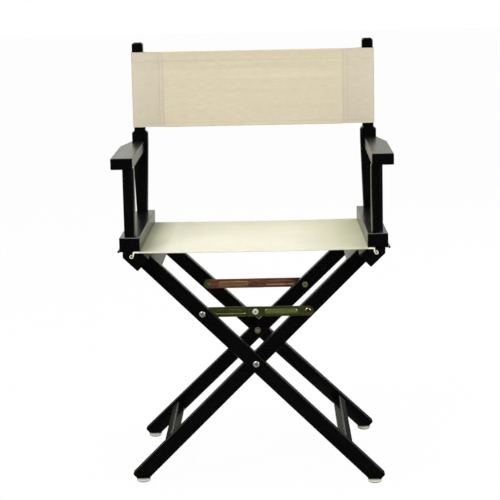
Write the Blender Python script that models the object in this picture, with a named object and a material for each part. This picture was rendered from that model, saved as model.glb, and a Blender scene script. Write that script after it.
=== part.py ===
"""Folding director chair with crossed wooden leg frames, folding steel stays and slip-on canvases.

Units are metres. +X is to the right as seen from the front, the chair faces -Y and stands on Z = 0.
Each side (rail, posts, arm) hinges on the top rail of one leg frame; the two frames cross at a bolt.
"""

from math import acos, cos, degrees, pi, radians, sin

import bmesh
import bpy
from mathutils import Matrix, Vector

# ---- Overall layout ---------------------------------------------------------------------------
RAIL_LENGTH = 0.413          # side rails and top rails, front to back
RAIL_CENTRE_X = 0.2405       # centre line of each side rail, from the middle of the chair
RAIL_BOTTOM_Z = 0.4725
PIVOT_Z = 0.2405             # height of the bolt on which the frames cross
LEG_ANGLE = radians(44.0)    # each leg, measured from the floor
FIT = 0.0003                 # gap between two pieces that touch
SEAT_GAP = 0.0007            # spare depth at the bottom of a mortise
CLEAR = 0.004                # how far a cut runs past what it cuts

# ---- Wood sections ----------------------------------------------------------------------------
RAIL_WIDTH, RAIL_HEIGHT = 0.040, 0.027
LEG_WIDTH, LEG_THICKNESS = 0.030, 0.019
OUTER_LEG_Y = 0.179          # middle of the outer frame's legs, at the bolt
LEG_SPLAY = 0.060            # how far a leg leans out from the middle per metre down its length
LEG_TOP = 0.297              # from the bolt, along the leg, to the top rail
LEG_FOOT = 0.336             # from the bolt, along the leg, to its foot
STRETCHER_DROP = 0.245       # from the bolt, along the leg, to the stretcher
STRETCHER_SIZE = 0.020
POST_WIDTH, POST_DEPTH = 0.022, 0.034
POST_FRONT_INSET = 0.009     # post's front face, behind the rail's front end
UPRIGHT_CENTRE_X = 0.2460
UPRIGHT_DEPTH = 0.022
UPRIGHT_REAR_INSET = 0.006   # upright's back face, ahead of the rail's rear end
UPRIGHT_FOOT_WIDTH = 0.0235
SHOULDER_WIDTH = 0.034
SHOULDER_Z = 0.676
SHOULDER_DROP = 0.022        # straight part of the shoulder below its chamfer
CHAMFER_HEIGHT = 0.005
STICK_WIDTH = 0.0235
STICK_TOP_Z = 0.864
STICK_ROUND = 0.0055
ARM_INNER_X, ARM_OUTER_X = 0.2305, 0.2730     # at the arm's front end
ARM_TOE = 0.0070             # how far its rear end stands further out than its front end
ARM_TOP_Z, ARM_THICKNESS = 0.6535, 0.022
ARM_FRONT_INSET = 0.003      # arm's front end, behind the rail's front end
ARM_CLIP_Y = 0.0636          # where the outer rear corner starts to be cut off
ARM_CLIP_MARGIN = 0.001      # the cut ends this far outside the upright
TENON_LENGTH = 0.012
TENON_SHOULDER = 0.005
TENON_ROUND = 0.0015
WOOD_ROUND = 0.0028
RAIL_ROUND = 0.0014
POST_ROUND = 0.0065
EDGE_ROUND = 0.002           # edges of legs, top rails and uprights
ARM_CORNER = 0.0025
ARM_EDGE = 0.0015
FOOT_CORNER = 0.004
BLOCK_OUTER, BLOCK_INNER = 0.019, 0.014   # top rail's faces, outward and inward of its legs' middle
BLOCK_CLIP = 0.0058          # its upper outer corner, cut back from the seat rail's outer face
BRACE_OUTER, BRACE_INNER = 0.0125, 0.0137  # deeper middle of the top rail, between its two legs
BRACE_DEPTH = 0.031          # how far it reaches below the top rail's square end
BRACE_GAP = 0.0008           # free space between it and each leg
END_CHAMFER = 0.0012

# ---- Hinges -----------------------------------------------------------------------------------
LEAF_THICKNESS = 0.0007
HINGE_PIN_RADIUS = 0.0012
HINGE_LENGTH = 0.050
HINGE_END_INSET = 0.006      # hinge's end, inside the rail's end
HINGE_WIDTH = 0.0195         # from the pin to the leaf's free edge
KNUCKLES = 5

# ---- Feet, bolts and stays --------------------------------------------------------------------
GLIDE_RADIUS, GLIDE_HEIGHT = 0.014, 0.0085
GLIDE_STEM_RADIUS, GLIDE_STEM_LENGTH = 0.0022, 0.007
BOLT_RADIUS = 0.003
BOLT_HEAD_RADIUS, BOLT_HEAD_HEIGHT = 0.0062, 0.0026
NUT_RADIUS, NUT_HEIGHT = 0.0068, 0.0032
SPACER_RADIUS = 0.0085
STAY_PIN_RADIUS = 0.0022
STAY_HEAD_RADIUS = 0.0058
STAY_HEAD_HEIGHT = 0.0021
STAY_TAIL_RADIUS, STAY_TAIL_HEIGHT = 0.0040, 0.0009
STAY_SIDES = 18
STAY_REACH = 0.1446          # stay pin, above the bolt along the leg
STAY_WIDTH, STAY_THICKNESS = 0.020, 0.0012
STAY_PLAY = 0.0005           # free space between the two halves of a stay
STAY_OVERRUN = 0.0165        # a half runs this far past its centre rivet
STAY_END_MARGIN = 0.0115     # and this far past its leg pin
RIB_WIDTH, RIB_HEIGHT = 0.0056, 0.0007
RIB_START, RIB_STOP = 0.024, 0.0235  # rib's ends, from the leg pin and from the centre rivet
RIB_SLOPE = 0.0011
OVERRUN_CORNER = 0.003
TAB_INSET, TAB_WIDTH, TAB_DEPTH = 0.0015, 0.0075, 0.0036

# ---- Fabric -----------------------------------------------------------------------------------
CANVAS_THICKNESS = 0.0013
DOWEL_RADIUS = 0.0022
DOWEL_DEPTH = 0.0080         # dowel's centre, below the top rail's top face
GROOVE_X = 0.2375
CANVAS_INSET = 0.002         # seat's front and rear edges, inside the rails' ends
BACK_BOTTOM_Z, BACK_TOP_Z = 0.683, 0.843
SLEEVE_ROOM = 0.0007         # free space between a stick's outer face and the fold round it
SLEEVE_SEAM = 0.057          # from that fold to where the sleeve closes
SLEEVE_HEM = 0.066           # from that fold to the canvas's own end

# ---- Worked out from the values above ---------------------------------------------------------
RAIL_END = RAIL_LENGTH / 2
RAIL_TOP_Z = RAIL_BOTTOM_Z + RAIL_HEIGHT
RAIL_OUTER_X = RAIL_CENTRE_X + RAIL_WIDTH / 2
KNUCKLE_MID = HINGE_PIN_RADIUS + FIT + LEAF_THICKNESS / 2
KNUCKLE_RADIUS = KNUCKLE_MID + LEAF_THICKNESS / 2
BLOCK_TOP_Z = RAIL_BOTTOM_Z - 2 * LEAF_THICKNESS - 3 * FIT
HINGE_X = RAIL_OUTER_X + FIT + KNUCKLE_RADIUS
HINGE_Z = (RAIL_BOTTOM_Z + BLOCK_TOP_Z) / 2
STAY_HALF = STAY_REACH * cos(LEG_ANGLE)
NEAR_ROOM = FIT + LEG_SPLAY * (STAY_WIDTH + STAY_END_MARGIN) / 2
LEAN_ROOM = FIT + LEG_SPLAY * (STAY_HALF + STAY_OVERRUN) + STAY_TAIL_HEIGHT
FRAME_SPACE = NEAR_ROOM + STAY_THICKNESS + LEAN_ROOM    # between an outer leg and its inner neighbour
INNER_LEG_Y = OUTER_LEG_Y - LEG_THICKNESS - FRAME_SPACE
ARM_BOTTOM_Z = ARM_TOP_Z - ARM_THICKNESS
UPRIGHT_Y = RAIL_END - UPRIGHT_REAR_INSET - UPRIGHT_DEPTH / 2
POST_Y = -RAIL_END + POST_FRONT_INSET + POST_DEPTH / 2
FRONT, REAR = -1, 1
LEFT, RIGHT = -1, 1
SIDE_NAME = {LEFT: "left", RIGHT: "right"}
END_NAME = {FRONT: "front", REAR: "rear"}


# ---- Building blocks --------------------------------------------------------------------------
def material(name, colour, roughness, metallic=0.0):
    made = bpy.data.materials.new(name)
    made.use_nodes = True
    made.diffuse_color = (*colour, 1.0)
    shader = made.node_tree.nodes["Principled BSDF"]
    shader.inputs["Base Color"].default_value = (*colour, 1.0)
    shader.inputs["Roughness"].default_value = roughness
    shader.inputs["Metallic"].default_value = metallic
    return made


def empty(name, place, turn=(0.0, 0.0, 0.0), parent=None):
    """An axis that pieces hang from; it keeps its world place when it gets a parent."""
    made = bpy.data.objects.new(name, None)
    made.empty_display_size = 0.03
    made.location = place
    made.rotation_euler = turn
    bpy.context.scene.collection.objects.link(made)
    bpy.context.view_layer.update()
    if parent:
        made.parent = parent
        made.matrix_parent_inverse = parent.matrix_world.inverted()
        bpy.context.view_layer.update()
    return made


def piece(name, shape, look, parent, place=(0.0, 0.0, 0.0), turn=None, local=False, smooth=40):
    """Turns a bmesh into a named object. Its place is in the world, or in its parent if local."""
    bmesh.ops.recalc_face_normals(shape, faces=shape.faces)
    mesh = bpy.data.meshes.new(name)
    shape.to_mesh(mesh)
    shape.free()
    mesh.shade_smooth()
    mesh.set_sharp_from_angle(angle=radians(smooth))
    made = bpy.data.objects.new(name, mesh)
    made.data.materials.append(look)
    made.location = place
    if turn:
        made.rotation_euler = turn
    bpy.context.scene.collection.objects.link(made)
    made.parent = parent
    if not local:
        made.matrix_parent_inverse = parent.matrix_world.inverted()
    bpy.context.view_layer.update()
    return made


def loft(rings):
    """A closed solid through rings that have the same number of points, capped at both ends."""
    shape = bmesh.new()
    made = [[shape.verts.new(point) for point in ring] for ring in rings]
    count = len(made[0])
    for low, high in zip(made, made[1:]):
        for i in range(count):
            j = (i + 1) % count
            shape.faces.new((low[i], low[j], high[j], high[i]))
    shape.faces.new(made[0])
    shape.faces.new(made[-1])
    bmesh.ops.recalc_face_normals(shape, faces=shape.faces)
    return shape


def rounded(half_a, half_b, radius, steps=2):
    """Corners of a rectangle about the origin, each rounded in steps."""
    points = []
    for quarter, (a, b) in enumerate(((1, 1), (-1, 1), (-1, -1), (1, -1))):
        for i in range(steps + 1):
            angle = (quarter + i / steps) * pi / 2
            points.append((
                a * (half_a - radius) + radius * cos(angle),
                b * (half_b - radius) + radius * sin(angle),
            ))
    return points


def bar(start, stop, half_a, half_b, radius, place, tenon=0.0):
    """A rounded bar between two stations. Its ends are chamfered, or carry tenons of a given length.

    place(a, b, t) puts the section's point (a, b) at station t.
    """
    full = rounded(half_a, half_b, radius)
    if tenon:
        thin = rounded(half_a - TENON_SHOULDER, half_b - TENON_SHOULDER, TENON_ROUND)
        stations = [(start - tenon, thin), (start, thin), (start, full),
                    (stop, full), (stop, thin), (stop + tenon, thin)]
    else:
        small = rounded(half_a - END_CHAMFER, half_b - END_CHAMFER, radius - END_CHAMFER)
        stations = [(start, small), (start + END_CHAMFER, full), (stop - END_CHAMFER, full), (stop, small)]
    return loft([[place(a, b, t) for a, b in ring] for t, ring in stations])


def prism(outline, low, high, place):
    """An outline pushed from one station to another. place(a, b, t) as for a bar."""
    return loft([[place(a, b, t) for a, b in outline] for t in (low, high)])


def along_y(a, b, t):
    return (a, t, b)


def along_z(a, b, t):
    return (a, b, t)


def turned(profile, sides=24):
    """A body of revolution about Z from (radius, height) points, starting and ending on the axis."""
    shape = bmesh.new()
    chain = [shape.verts.new((radius, 0.0, height)) for radius, height in profile]
    edges = [shape.edges.new(pair) for pair in zip(chain, chain[1:])]
    bmesh.ops.spin(
        shape, geom=chain + edges, cent=(0, 0, 0), axis=(0, 0, 1),
        angle=2 * pi, steps=sides, use_merge=True,
    )
    bmesh.ops.remove_doubles(shape, verts=shape.verts, dist=1e-6)
    return shape


def moved(shape, place=(0, 0, 0), turn=Matrix.Identity(4)):
    shape.transform(Matrix.Translation(place) @ turn)
    return shape


def facing(direction):
    """Turns local +Z towards -Y (front) or +Y (rear)."""
    return Matrix.Rotation(-direction * pi / 2, 4, "X")


def combine(target, other, how="DIFFERENCE"):
    """Cuts a shape from an object, or joins it on, in the object's own space."""
    bmesh.ops.recalc_face_normals(other, faces=other.faces)
    mesh = bpy.data.meshes.new("cutter")
    other.to_mesh(mesh)
    other.free()
    cutter = bpy.data.objects.new("cutter", mesh)
    cutter.display_type = "WIRE"
    cutter.hide_render = True
    bpy.context.scene.collection.objects.link(cutter)
    cutter.matrix_world = target.matrix_world.copy()
    change = target.modifiers.new("cut", "BOOLEAN")
    change.operation = how
    change.solver = "EXACT"
    change.object = cutter
    bpy.context.view_layer.update()
    seen = target.evaluated_get(bpy.context.evaluated_depsgraph_get())
    result = bpy.data.meshes.new_from_object(seen)
    target.modifiers.remove(change)
    target.data = result
    bpy.data.objects.remove(cutter)
    result.shade_smooth()
    result.set_sharp_from_angle(angle=radians(40))


def hole(target, x, y_low, y_high, z, radius, sides=24):
    """A round hole along Y, in the object's own space."""
    ring = [(x + radius * cos(2 * pi * i / sides), z + radius * sin(2 * pi * i / sides)) for i in range(sides)]
    combine(target, prism(ring, y_low, y_high, along_y))


def splayed(shape):
    """Leans both halves of a shape out towards the feet, in a leg frame's own axes."""
    for point in shape.verts:
        point.co.y -= LEG_SPLAY * point.co.z * (1 if point.co.y > 0 else -1)
    return shape


def mortise(target, centre, half, axis, leaning=False):
    """A square pocket that clears a tenon by the fit, reaching half[2] each way along its axis."""
    place = along_y if axis == "Y" else along_z
    outline = rounded(half[0] + FIT, half[1] + FIT, 0.0005, 1)
    pocket = moved(prism(outline, -half[2], half[2], place), centre)
    combine(target, splayed(pocket) if leaning else pocket)


def ribbon(path, thickness):
    """Outline of a strip of even thickness that follows a path."""
    sides = ([], [])
    for i, (x, z) in enumerate(path):
        before = path[max(i - 1, 0)]
        after = path[min(i + 1, len(path) - 1)]
        back = Vector((x - before[0], z - before[1]))
        ahead = Vector((after[0] - x, after[1] - z))
        back = (back if back.length else ahead).normalized()
        ahead = (ahead if ahead.length else back).normalized()
        middle = (back + ahead).normalized()
        normal = Vector((-middle.y, middle.x)) * (thickness / 2 / max(middle.dot(ahead), 0.5))
        sides[0].append((x + normal.x, z + normal.y))
        sides[1].append((x - normal.x, z - normal.y))
    return sides[0] + sides[1][::-1]


def arc(centre, radius, start, stop, steps):
    """Points on an arc between two angles in degrees."""
    return [
        (centre[0] + radius * cos(radians(start + (stop - start) * i / steps)),
         centre[1] + radius * sin(radians(start + (stop - start) * i / steps)))
        for i in range(steps + 1)
    ]


def soften(shape, width, wanted, steps=2):
    """Rounds the edges for which wanted(first end, second end) is true."""
    chosen = [edge for edge in shape.edges if wanted(edge.verts[0].co, edge.verts[1].co)]
    bmesh.ops.bevel(shape, geom=chosen, offset=width, segments=steps, profile=0.5, affect="EDGES",
                    clamp_overlap=True)
    return shape


def same(first, second):
    return abs(first - second) < 1e-6


# ---- Start ------------------------------------------------------------------------------------
for old in list(bpy.data.objects):
    bpy.data.objects.remove(old)

BLACK_WOOD = material("black_lacquered_wood", (0.012, 0.012, 0.013), 0.32)
CANVAS_BACK = material("cream_canvas", (0.72, 0.66, 0.52), 0.9)
CANVAS_SEAT = material("natural_canvas", (0.76, 0.74, 0.62), 0.9)
NICKEL = material("nickel_plated_steel", (0.62, 0.58, 0.48), 0.28, 1.0)
DULL_STEEL = material("zinc_plated_steel", (0.42, 0.40, 0.36), 0.45, 1.0)
STAY_STEEL = material("yellow_zinc_steel", (0.46, 0.42, 0.20), 0.34, 1.0)
GLIDE_PLASTIC = material("off_white_plastic", (0.78, 0.79, 0.66), 0.45)
DOWEL_WOOD = material("dowel_wood", (0.30, 0.20, 0.12), 0.6)

# Axes of the fold: the left side stays, everything else follows from it.
left_body = empty("left_side", (0, 0, 0))
outer_body = empty("outer_legs", (-HINGE_X, 0, HINGE_Z), parent=left_body)
TILT = -(pi / 2 - LEG_ANGLE)
outer_frame = empty("outer_frame", (0, 0, PIVOT_Z), (0, TILT, 0), outer_body)
inner_frame = empty("inner_legs", (0, 0, PIVOT_Z), (0, TILT, pi), outer_body)
right_body = empty("right_side", (HINGE_X, 0, HINGE_Z), parent=inner_frame)
BODY = {LEFT: left_body, RIGHT: right_body}


# ---- Sides: rail, front post, rear upright, arm ------------------------------------------------
def build_side(side):
    """Everything that stays upright on one side of the seat."""
    name, body = SIDE_NAME[side], BODY[side]
    rail_x = side * RAIL_CENTRE_X
    upright_x = side * UPRIGHT_CENTRE_X

    rail = piece(
        f"side_rail_{name}",
        moved(bar(-RAIL_END, RAIL_END, RAIL_WIDTH / 2, RAIL_HEIGHT / 2, RAIL_ROUND, along_y),
              (rail_x, 0, RAIL_BOTTOM_Z + RAIL_HEIGHT / 2)),
        BLACK_WOOD, body,
    )

    front_post = piece(
        f"front_post_{name}",
        moved(bar(RAIL_TOP_Z + FIT, ARM_BOTTOM_Z - FIT, POST_WIDTH / 2, POST_DEPTH / 2, POST_ROUND,
                  along_z, TENON_LENGTH), (rail_x, POST_Y, 0)),
        BLACK_WOOD, body,
    )
    post_tenon = (POST_WIDTH / 2 - TENON_SHOULDER, POST_DEPTH / 2 - TENON_SHOULDER, TENON_LENGTH + SEAT_GAP)
    mortise(rail, (rail_x, POST_Y, RAIL_TOP_Z), post_tenon, "Z")

    # The upright widens to its shoulder, is chamfered there and goes on as a round-cornered stick.
    foot, shoulder, stick = UPRIGHT_FOOT_WIDTH / 2, SHOULDER_WIDTH / 2, STICK_WIDTH / 2
    foot_z = RAIL_TOP_Z + FIT
    half = [(foot, foot_z), (shoulder, SHOULDER_Z - SHOULDER_DROP - CHAMFER_HEIGHT),
            (shoulder, SHOULDER_Z - CHAMFER_HEIGHT), (stick, SHOULDER_Z)]
    half += arc((stick - STICK_ROUND, STICK_TOP_Z - STICK_ROUND), STICK_ROUND, 0, 90, 4)
    outline = half + [(-x, z) for x, z in reversed(half)]
    board = prism(outline, -UPRIGHT_DEPTH / 2, UPRIGHT_DEPTH / 2, along_y)
    soften(board, EDGE_ROUND, lambda p, q: same(p.y, q.y) and not (same(p.z, foot_z) and same(q.z, foot_z)))
    upright = piece(f"rear_upright_{name}", moved(board, (upright_x, UPRIGHT_Y, 0)), BLACK_WOOD, body)
    foot_tenon = (foot - TENON_SHOULDER, UPRIGHT_DEPTH / 2 - TENON_SHOULDER)
    tongue = prism(rounded(*foot_tenon, TENON_ROUND), -TENON_LENGTH, TENON_LENGTH, along_z)
    combine(upright, moved(tongue, (upright_x, UPRIGHT_Y, foot_z)), "UNION")
    mortise(rail, (upright_x, UPRIGHT_Y, RAIL_TOP_Z), (*foot_tenon, TENON_LENGTH + SEAT_GAP), "Z")

    # The arm's plan is square in front, clipped at its outer rear corner and butts on the upright.
    # It spreads a little to the rear, because the uprights stand further apart than the posts.
    arm_front = -RAIL_END + ARM_FRONT_INSET
    arm_back = UPRIGHT_Y - UPRIGHT_DEPTH / 2 - FIT
    clip_x = UPRIGHT_CENTRE_X + SHOULDER_WIDTH / 2 + ARM_CLIP_MARGIN
    plan = arc((ARM_INNER_X + ARM_CORNER, arm_front + ARM_CORNER), ARM_CORNER, 180, 270, 4)
    plan += arc((ARM_OUTER_X - ARM_CORNER, arm_front + ARM_CORNER), ARM_CORNER, 270, 360, 4)
    plan += [(ARM_OUTER_X, ARM_CLIP_Y), (ARM_INNER_X, arm_back)]
    plan = [(x + ARM_TOE * (y - arm_front) / (arm_back - arm_front), y) for x, y in plan]
    plan.insert(-1, (clip_x, arm_back))
    board = prism([(side * x, y) for x, y in plan], ARM_BOTTOM_Z, ARM_TOP_Z, along_z)
    soften(board, ARM_EDGE, lambda p, q: same(p.z, q.z) and not (same(p.y, arm_back) and same(q.y, arm_back)))
    arm = piece(f"armrest_{name}", board, BLACK_WOOD, body)
    mortise(arm, (rail_x, POST_Y, ARM_BOTTOM_Z), post_tenon, "Z")
    tongue_half = (STICK_WIDTH / 2 - TENON_SHOULDER, ARM_THICKNESS / 2 - TENON_SHOULDER)
    tongue_place = (upright_x, arm_back, (ARM_BOTTOM_Z + ARM_TOP_Z) / 2)
    reach = UPRIGHT_DEPTH / 2
    tongue = prism(rounded(*tongue_half, TENON_ROUND), -reach, reach, along_y)
    combine(arm, moved(tongue, tongue_place), "UNION")
    mortise(upright, tongue_place, (*tongue_half, reach + SEAT_GAP), "Y")


# ---- Hinges between a side and its leg frame -----------------------------------------------------
def leaf_outline(side, up):
    """A leaf rolled round the pin: flat plate, a small crank, then the curl. up is 1 or -1."""
    level = FIT / 2 + LEAF_THICKNESS / 2
    path = [(-HINGE_WIDTH, level), (-KNUCKLE_RADIUS - 0.0012, level), (-KNUCKLE_MID * 0.5, KNUCKLE_MID * 0.9)]
    path += arc((0, 0), KNUCKLE_MID, 95, -175, 12)
    return [(side * x, up * z) for x, z in ribbon(path, LEAF_THICKNESS)]


def build_hinge(side, end, frame):
    label = f"{SIDE_NAME[side]}_{END_NAME[end]}"
    axis = (side * HINGE_X, end * (RAIL_END - HINGE_END_INSET - HINGE_LENGTH / 2), HINGE_Z)
    pitch = HINGE_LENGTH / KNUCKLES
    for kind, up, body in (("upper", 1, BODY[side]), ("lower", -1, frame)):
        leaf = piece(
            f"hinge_{kind}_leaf_{label}",
            prism(leaf_outline(side, up), -HINGE_LENGTH / 2, HINGE_LENGTH / 2, along_y),
            DULL_STEEL, body, axis,
        )
        cleared = 1 if kind == "upper" else 0
        for i in range(cleared, KNUCKLES, 2):
            low = -HINGE_LENGTH / 2 + i * pitch - (CLEAR if i == 0 else FIT / 2)
            high = -HINGE_LENGTH / 2 + (i + 1) * pitch + (CLEAR if i == KNUCKLES - 1 else FIT / 2)
            inner = KNUCKLE_RADIUS + FIT
            box = [(side * -inner, -CLEAR), (side * CLEAR, -CLEAR), (side * CLEAR, CLEAR), (side * -inner, CLEAR)]
            combine(leaf, prism(box, low, high, along_y))
    pin = turned([(0, 0), (HINGE_PIN_RADIUS, 0), (HINGE_PIN_RADIUS, HINGE_LENGTH), (0, HINGE_LENGTH)], 16)
    piece(f"hinge_pin_{label}", moved(pin, (0, -HINGE_LENGTH / 2, 0), facing(1)), DULL_STEEL, BODY[side], axis)


# ---- Leg frames ---------------------------------------------------------------------------------
def block_outline():
    """Section of a top rail in its frame's own axes: X across the leg, Z up the leg.

    The low end is square on the legs. The top is cut level, and holds the keyhole groove.
    The upper outer corner is cut off upright, clear of the hinge's knuckle.
    """
    level = BLOCK_TOP_Z - PIVOT_Z

    def up_leg(across):
        return (level - across * cos(LEG_ANGLE)) / sin(LEG_ANGLE)

    def from_level(out, rise):
        """A point given by its distance out from the middle and its height, in frame axes."""
        across = -out * sin(LEG_ANGLE) + rise * cos(LEG_ANGLE)
        along = out * cos(LEG_ANGLE) + rise * sin(LEG_ANGLE)
        return (across, along)

    channel = DOWEL_RADIUS + FIT + CANVAS_THICKNESS + 2 * FIT
    slot_half = CANVAS_THICKNESS / 2 + 2 * FIT
    loop = DOWEL_RADIUS + FIT + CANVAS_THICKNESS / 2
    slot_middle = -loop
    inner_edge, outer_edge = slot_middle - slot_half, slot_middle + slot_half
    meet_inner = acos(max(-1.0, inner_edge / channel)) if inner_edge > -channel else pi
    meet_outer = acos(outer_edge / channel)
    points = [(BLOCK_INNER, LEG_TOP), (BLOCK_INNER, up_leg(BLOCK_INNER))]
    round_channel = arc((0, 0), channel, degrees(meet_inner), 360 + degrees(meet_outer), 14)
    notch = [(inner_edge, DOWEL_DEPTH)] + round_channel + [(outer_edge, DOWEL_DEPTH)]
    points += [from_level(GROOVE_X + x, level - DOWEL_DEPTH + z) for x, z in notch]
    clip = RAIL_OUTER_X - BLOCK_CLIP
    points += [from_level(clip, level), from_level(clip, (clip * sin(LEG_ANGLE) - BLOCK_OUTER) / cos(LEG_ANGLE))]
    points += [(-BLOCK_OUTER, LEG_TOP)]
    return points


def seat_of(radius):
    """Free space under a flat round head, so that it clears the leg's leaning face."""
    return FIT + LEG_SPLAY * radius


def build_frame(label, frame, leg_y, side):
    """One frame in its own axes: Z up the leg, X across it, the bolt's axis at the origin."""
    half = LEG_WIDTH / 2
    turn_y = 1 if side == LEFT else -1
    board = prism(block_outline(), -RAIL_END, RAIL_END, along_y)

    def on_side(p, q):
        faced = same(p.x, BLOCK_INNER) or same(p.x, -BLOCK_OUTER)
        return faced and same(p.x, q.x) and (same(p.y, q.y) or same(p.z, q.z))

    block = piece(f"top_rail_{label}", soften(board, EDGE_ROUND, on_side), BLACK_WOOD, frame, local=True)
    span = leg_y - LEG_THICKNESS / 2 - LEG_SPLAY * LEG_TOP - BRACE_GAP
    low = LEG_TOP - BRACE_DEPTH
    middle = [(-BRACE_OUTER, low), (BRACE_INNER, low), (BRACE_INNER, LEG_TOP + 0.002), (-BRACE_OUTER, LEG_TOP + 0.002)]

    def low_edge(p, q):
        return same(p.z, low) and same(q.z, low) and same(p.x, q.x)

    combine(block, soften(prism(middle, -span, span, along_y), EDGE_ROUND, low_edge), "UNION")

    # A foot is cut level just above its glide, and its upper corner is rounded.
    level = GLIDE_HEIGHT + FIT - PIVOT_Z
    low_side = (level + half * cos(LEG_ANGLE)) / sin(LEG_ANGLE)
    end_across = (level + LEG_FOOT * sin(LEG_ANGLE)) / cos(LEG_ANGLE)
    foot_middle = Vector(((-half + end_across) / 2, (low_side - LEG_FOOT) / 2))
    leg_end = LEG_TOP - FIT
    plan = [(half, leg_end), (-half, leg_end), (-half, low_side), (end_across, -LEG_FOOT)]
    plan += arc((half - FOOT_CORNER, -LEG_FOOT + FOOT_CORNER), FOOT_CORNER, 270, 360, 4)

    def long_edge(p, q):
        return same(p.y, q.y) and not (same(p.z, leg_end) and same(q.z, leg_end)) \
            and not (same(min(p.z, q.z), -LEG_FOOT) and same(max(p.z, q.z), low_side))

    tenon = (half - TENON_SHOULDER, LEG_THICKNESS / 2 - TENON_SHOULDER)
    bar_half = STRETCHER_SIZE / 2
    bar_tenon = bar_half - TENON_SHOULDER
    rung = piece(
        f"stretcher_{label}",
        splayed(moved(bar(-leg_y + LEG_THICKNESS / 2 + FIT, leg_y - LEG_THICKNESS / 2 - FIT, bar_half, bar_half,
                          WOOD_ROUND, along_y, TENON_LENGTH), (0, 0, -STRETCHER_DROP))),
        BLACK_WOOD, frame, local=True,
    )
    for end in (FRONT, REAR):
        where = END_NAME[end]
        y = end * turn_y * leg_y
        inward = -1 if y > 0 else 1
        board = prism(plan, y - LEG_THICKNESS / 2, y + LEG_THICKNESS / 2, along_y)
        board = splayed(soften(board, EDGE_ROUND, long_edge))
        leg = piece(f"{where}_leg_{label}", board, BLACK_WOOD, frame, local=True)
        tongue = prism(rounded(*tenon, TENON_ROUND), -TENON_LENGTH, TENON_LENGTH, along_z)
        combine(leg, splayed(moved(tongue, (0, y, leg_end))), "UNION")
        mortise(block, (0, y, LEG_TOP), (*tenon, TENON_LENGTH + SEAT_GAP), "Z", leaning=True)
        mortise(leg, (0, y + inward * LEG_THICKNESS / 2, -STRETCHER_DROP),
                (bar_tenon, bar_tenon, TENON_LENGTH + SEAT_GAP), "Y", leaning=True)
        hole(leg, 0, y - LEG_THICKNESS, y + LEG_THICKNESS, 0, BOLT_RADIUS + FIT)
        pin_y = y + inward * LEG_SPLAY * STAY_REACH
        hole(leg, 0, pin_y - LEG_THICKNESS, pin_y + LEG_THICKNESS, STAY_REACH, STAY_PIN_RADIUS + FIT)

        # The glide's stem goes straight up into the foot, whatever the leg's angle.
        upright = Matrix.Rotation(pi / 2 - LEG_ANGLE, 4, "Y")
        foot_place = (foot_middle.x, y + inward * LEG_SPLAY * foot_middle.y, foot_middle.y)
        socket = turned([(0, -CLEAR), (GLIDE_STEM_RADIUS + FIT, -CLEAR),
                         (GLIDE_STEM_RADIUS + FIT, GLIDE_STEM_LENGTH + SEAT_GAP),
                         (0, GLIDE_STEM_LENGTH + SEAT_GAP)], 16)
        combine(leg, moved(socket, foot_place, upright))
        rim = GLIDE_RADIUS
        profile = [(0, -GLIDE_HEIGHT - FIT), (rim * 0.66, -GLIDE_HEIGHT - FIT),
                   (rim * 0.86, -GLIDE_HEIGHT * 0.88), (rim * 0.97, -GLIDE_HEIGHT * 0.66), (rim, -GLIDE_HEIGHT * 0.4),
                   (rim, -0.0016), (rim - 0.0013, -FIT), (GLIDE_STEM_RADIUS, -FIT),
                   (GLIDE_STEM_RADIUS, GLIDE_STEM_LENGTH - 0.001), (0, GLIDE_STEM_LENGTH)]
        piece(f"glide_{label}_{where}", moved(turned(profile, 24), foot_place, upright), GLIDE_PLASTIC,
              frame, local=True)

    # The dowel lies in the seat's loop, at the bottom of the groove.
    out, rise = GROOVE_X, BLOCK_TOP_Z - DOWEL_DEPTH - PIVOT_Z
    place = (-out * sin(LEG_ANGLE) + rise * cos(LEG_ANGLE), 0, out * cos(LEG_ANGLE) + rise * sin(LEG_ANGLE))
    reach = RAIL_END - CANVAS_INSET
    rod = [(DOWEL_RADIUS * cos(2 * pi * i / 14), DOWEL_RADIUS * sin(2 * pi * i / 14)) for i in range(14)]
    piece(f"seat_dowel_{label}", moved(prism(rod, -reach, reach, along_y), place), DOWEL_WOOD, frame, local=True)


# ---- Crossing bolts -------------------------------------------------------------------------------
def headed(radius, head_radius, head_height, length, sides=24):
    """A domed head above Z = 0 with its shank below."""
    return turned([(0, -length), (radius, -length), (radius, 0), (head_radius, 0),
                   (head_radius, head_height * 0.4), (head_radius * 0.78, head_height * 0.82),
                   (head_radius * 0.4, head_height), (0, head_height)], sides)


def ring(inner, outer, low, high, sides=24):
    """A washer about Z, made as an outer and an inner wall."""
    shape = bmesh.new()
    loops = []
    for radius, height in ((outer, low), (outer, high), (inner, high), (inner, low)):
        loops.append([shape.verts.new((radius * cos(2 * pi * i / sides), radius * sin(2 * pi * i / sides), height))
                      for i in range(sides)])
    for k in range(4):
        first, second = loops[k], loops[(k + 1) % 4]
        for i in range(sides):
            j = (i + 1) % sides
            shape.faces.new((first[i], first[j], second[j], second[i]))
    return shape


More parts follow.
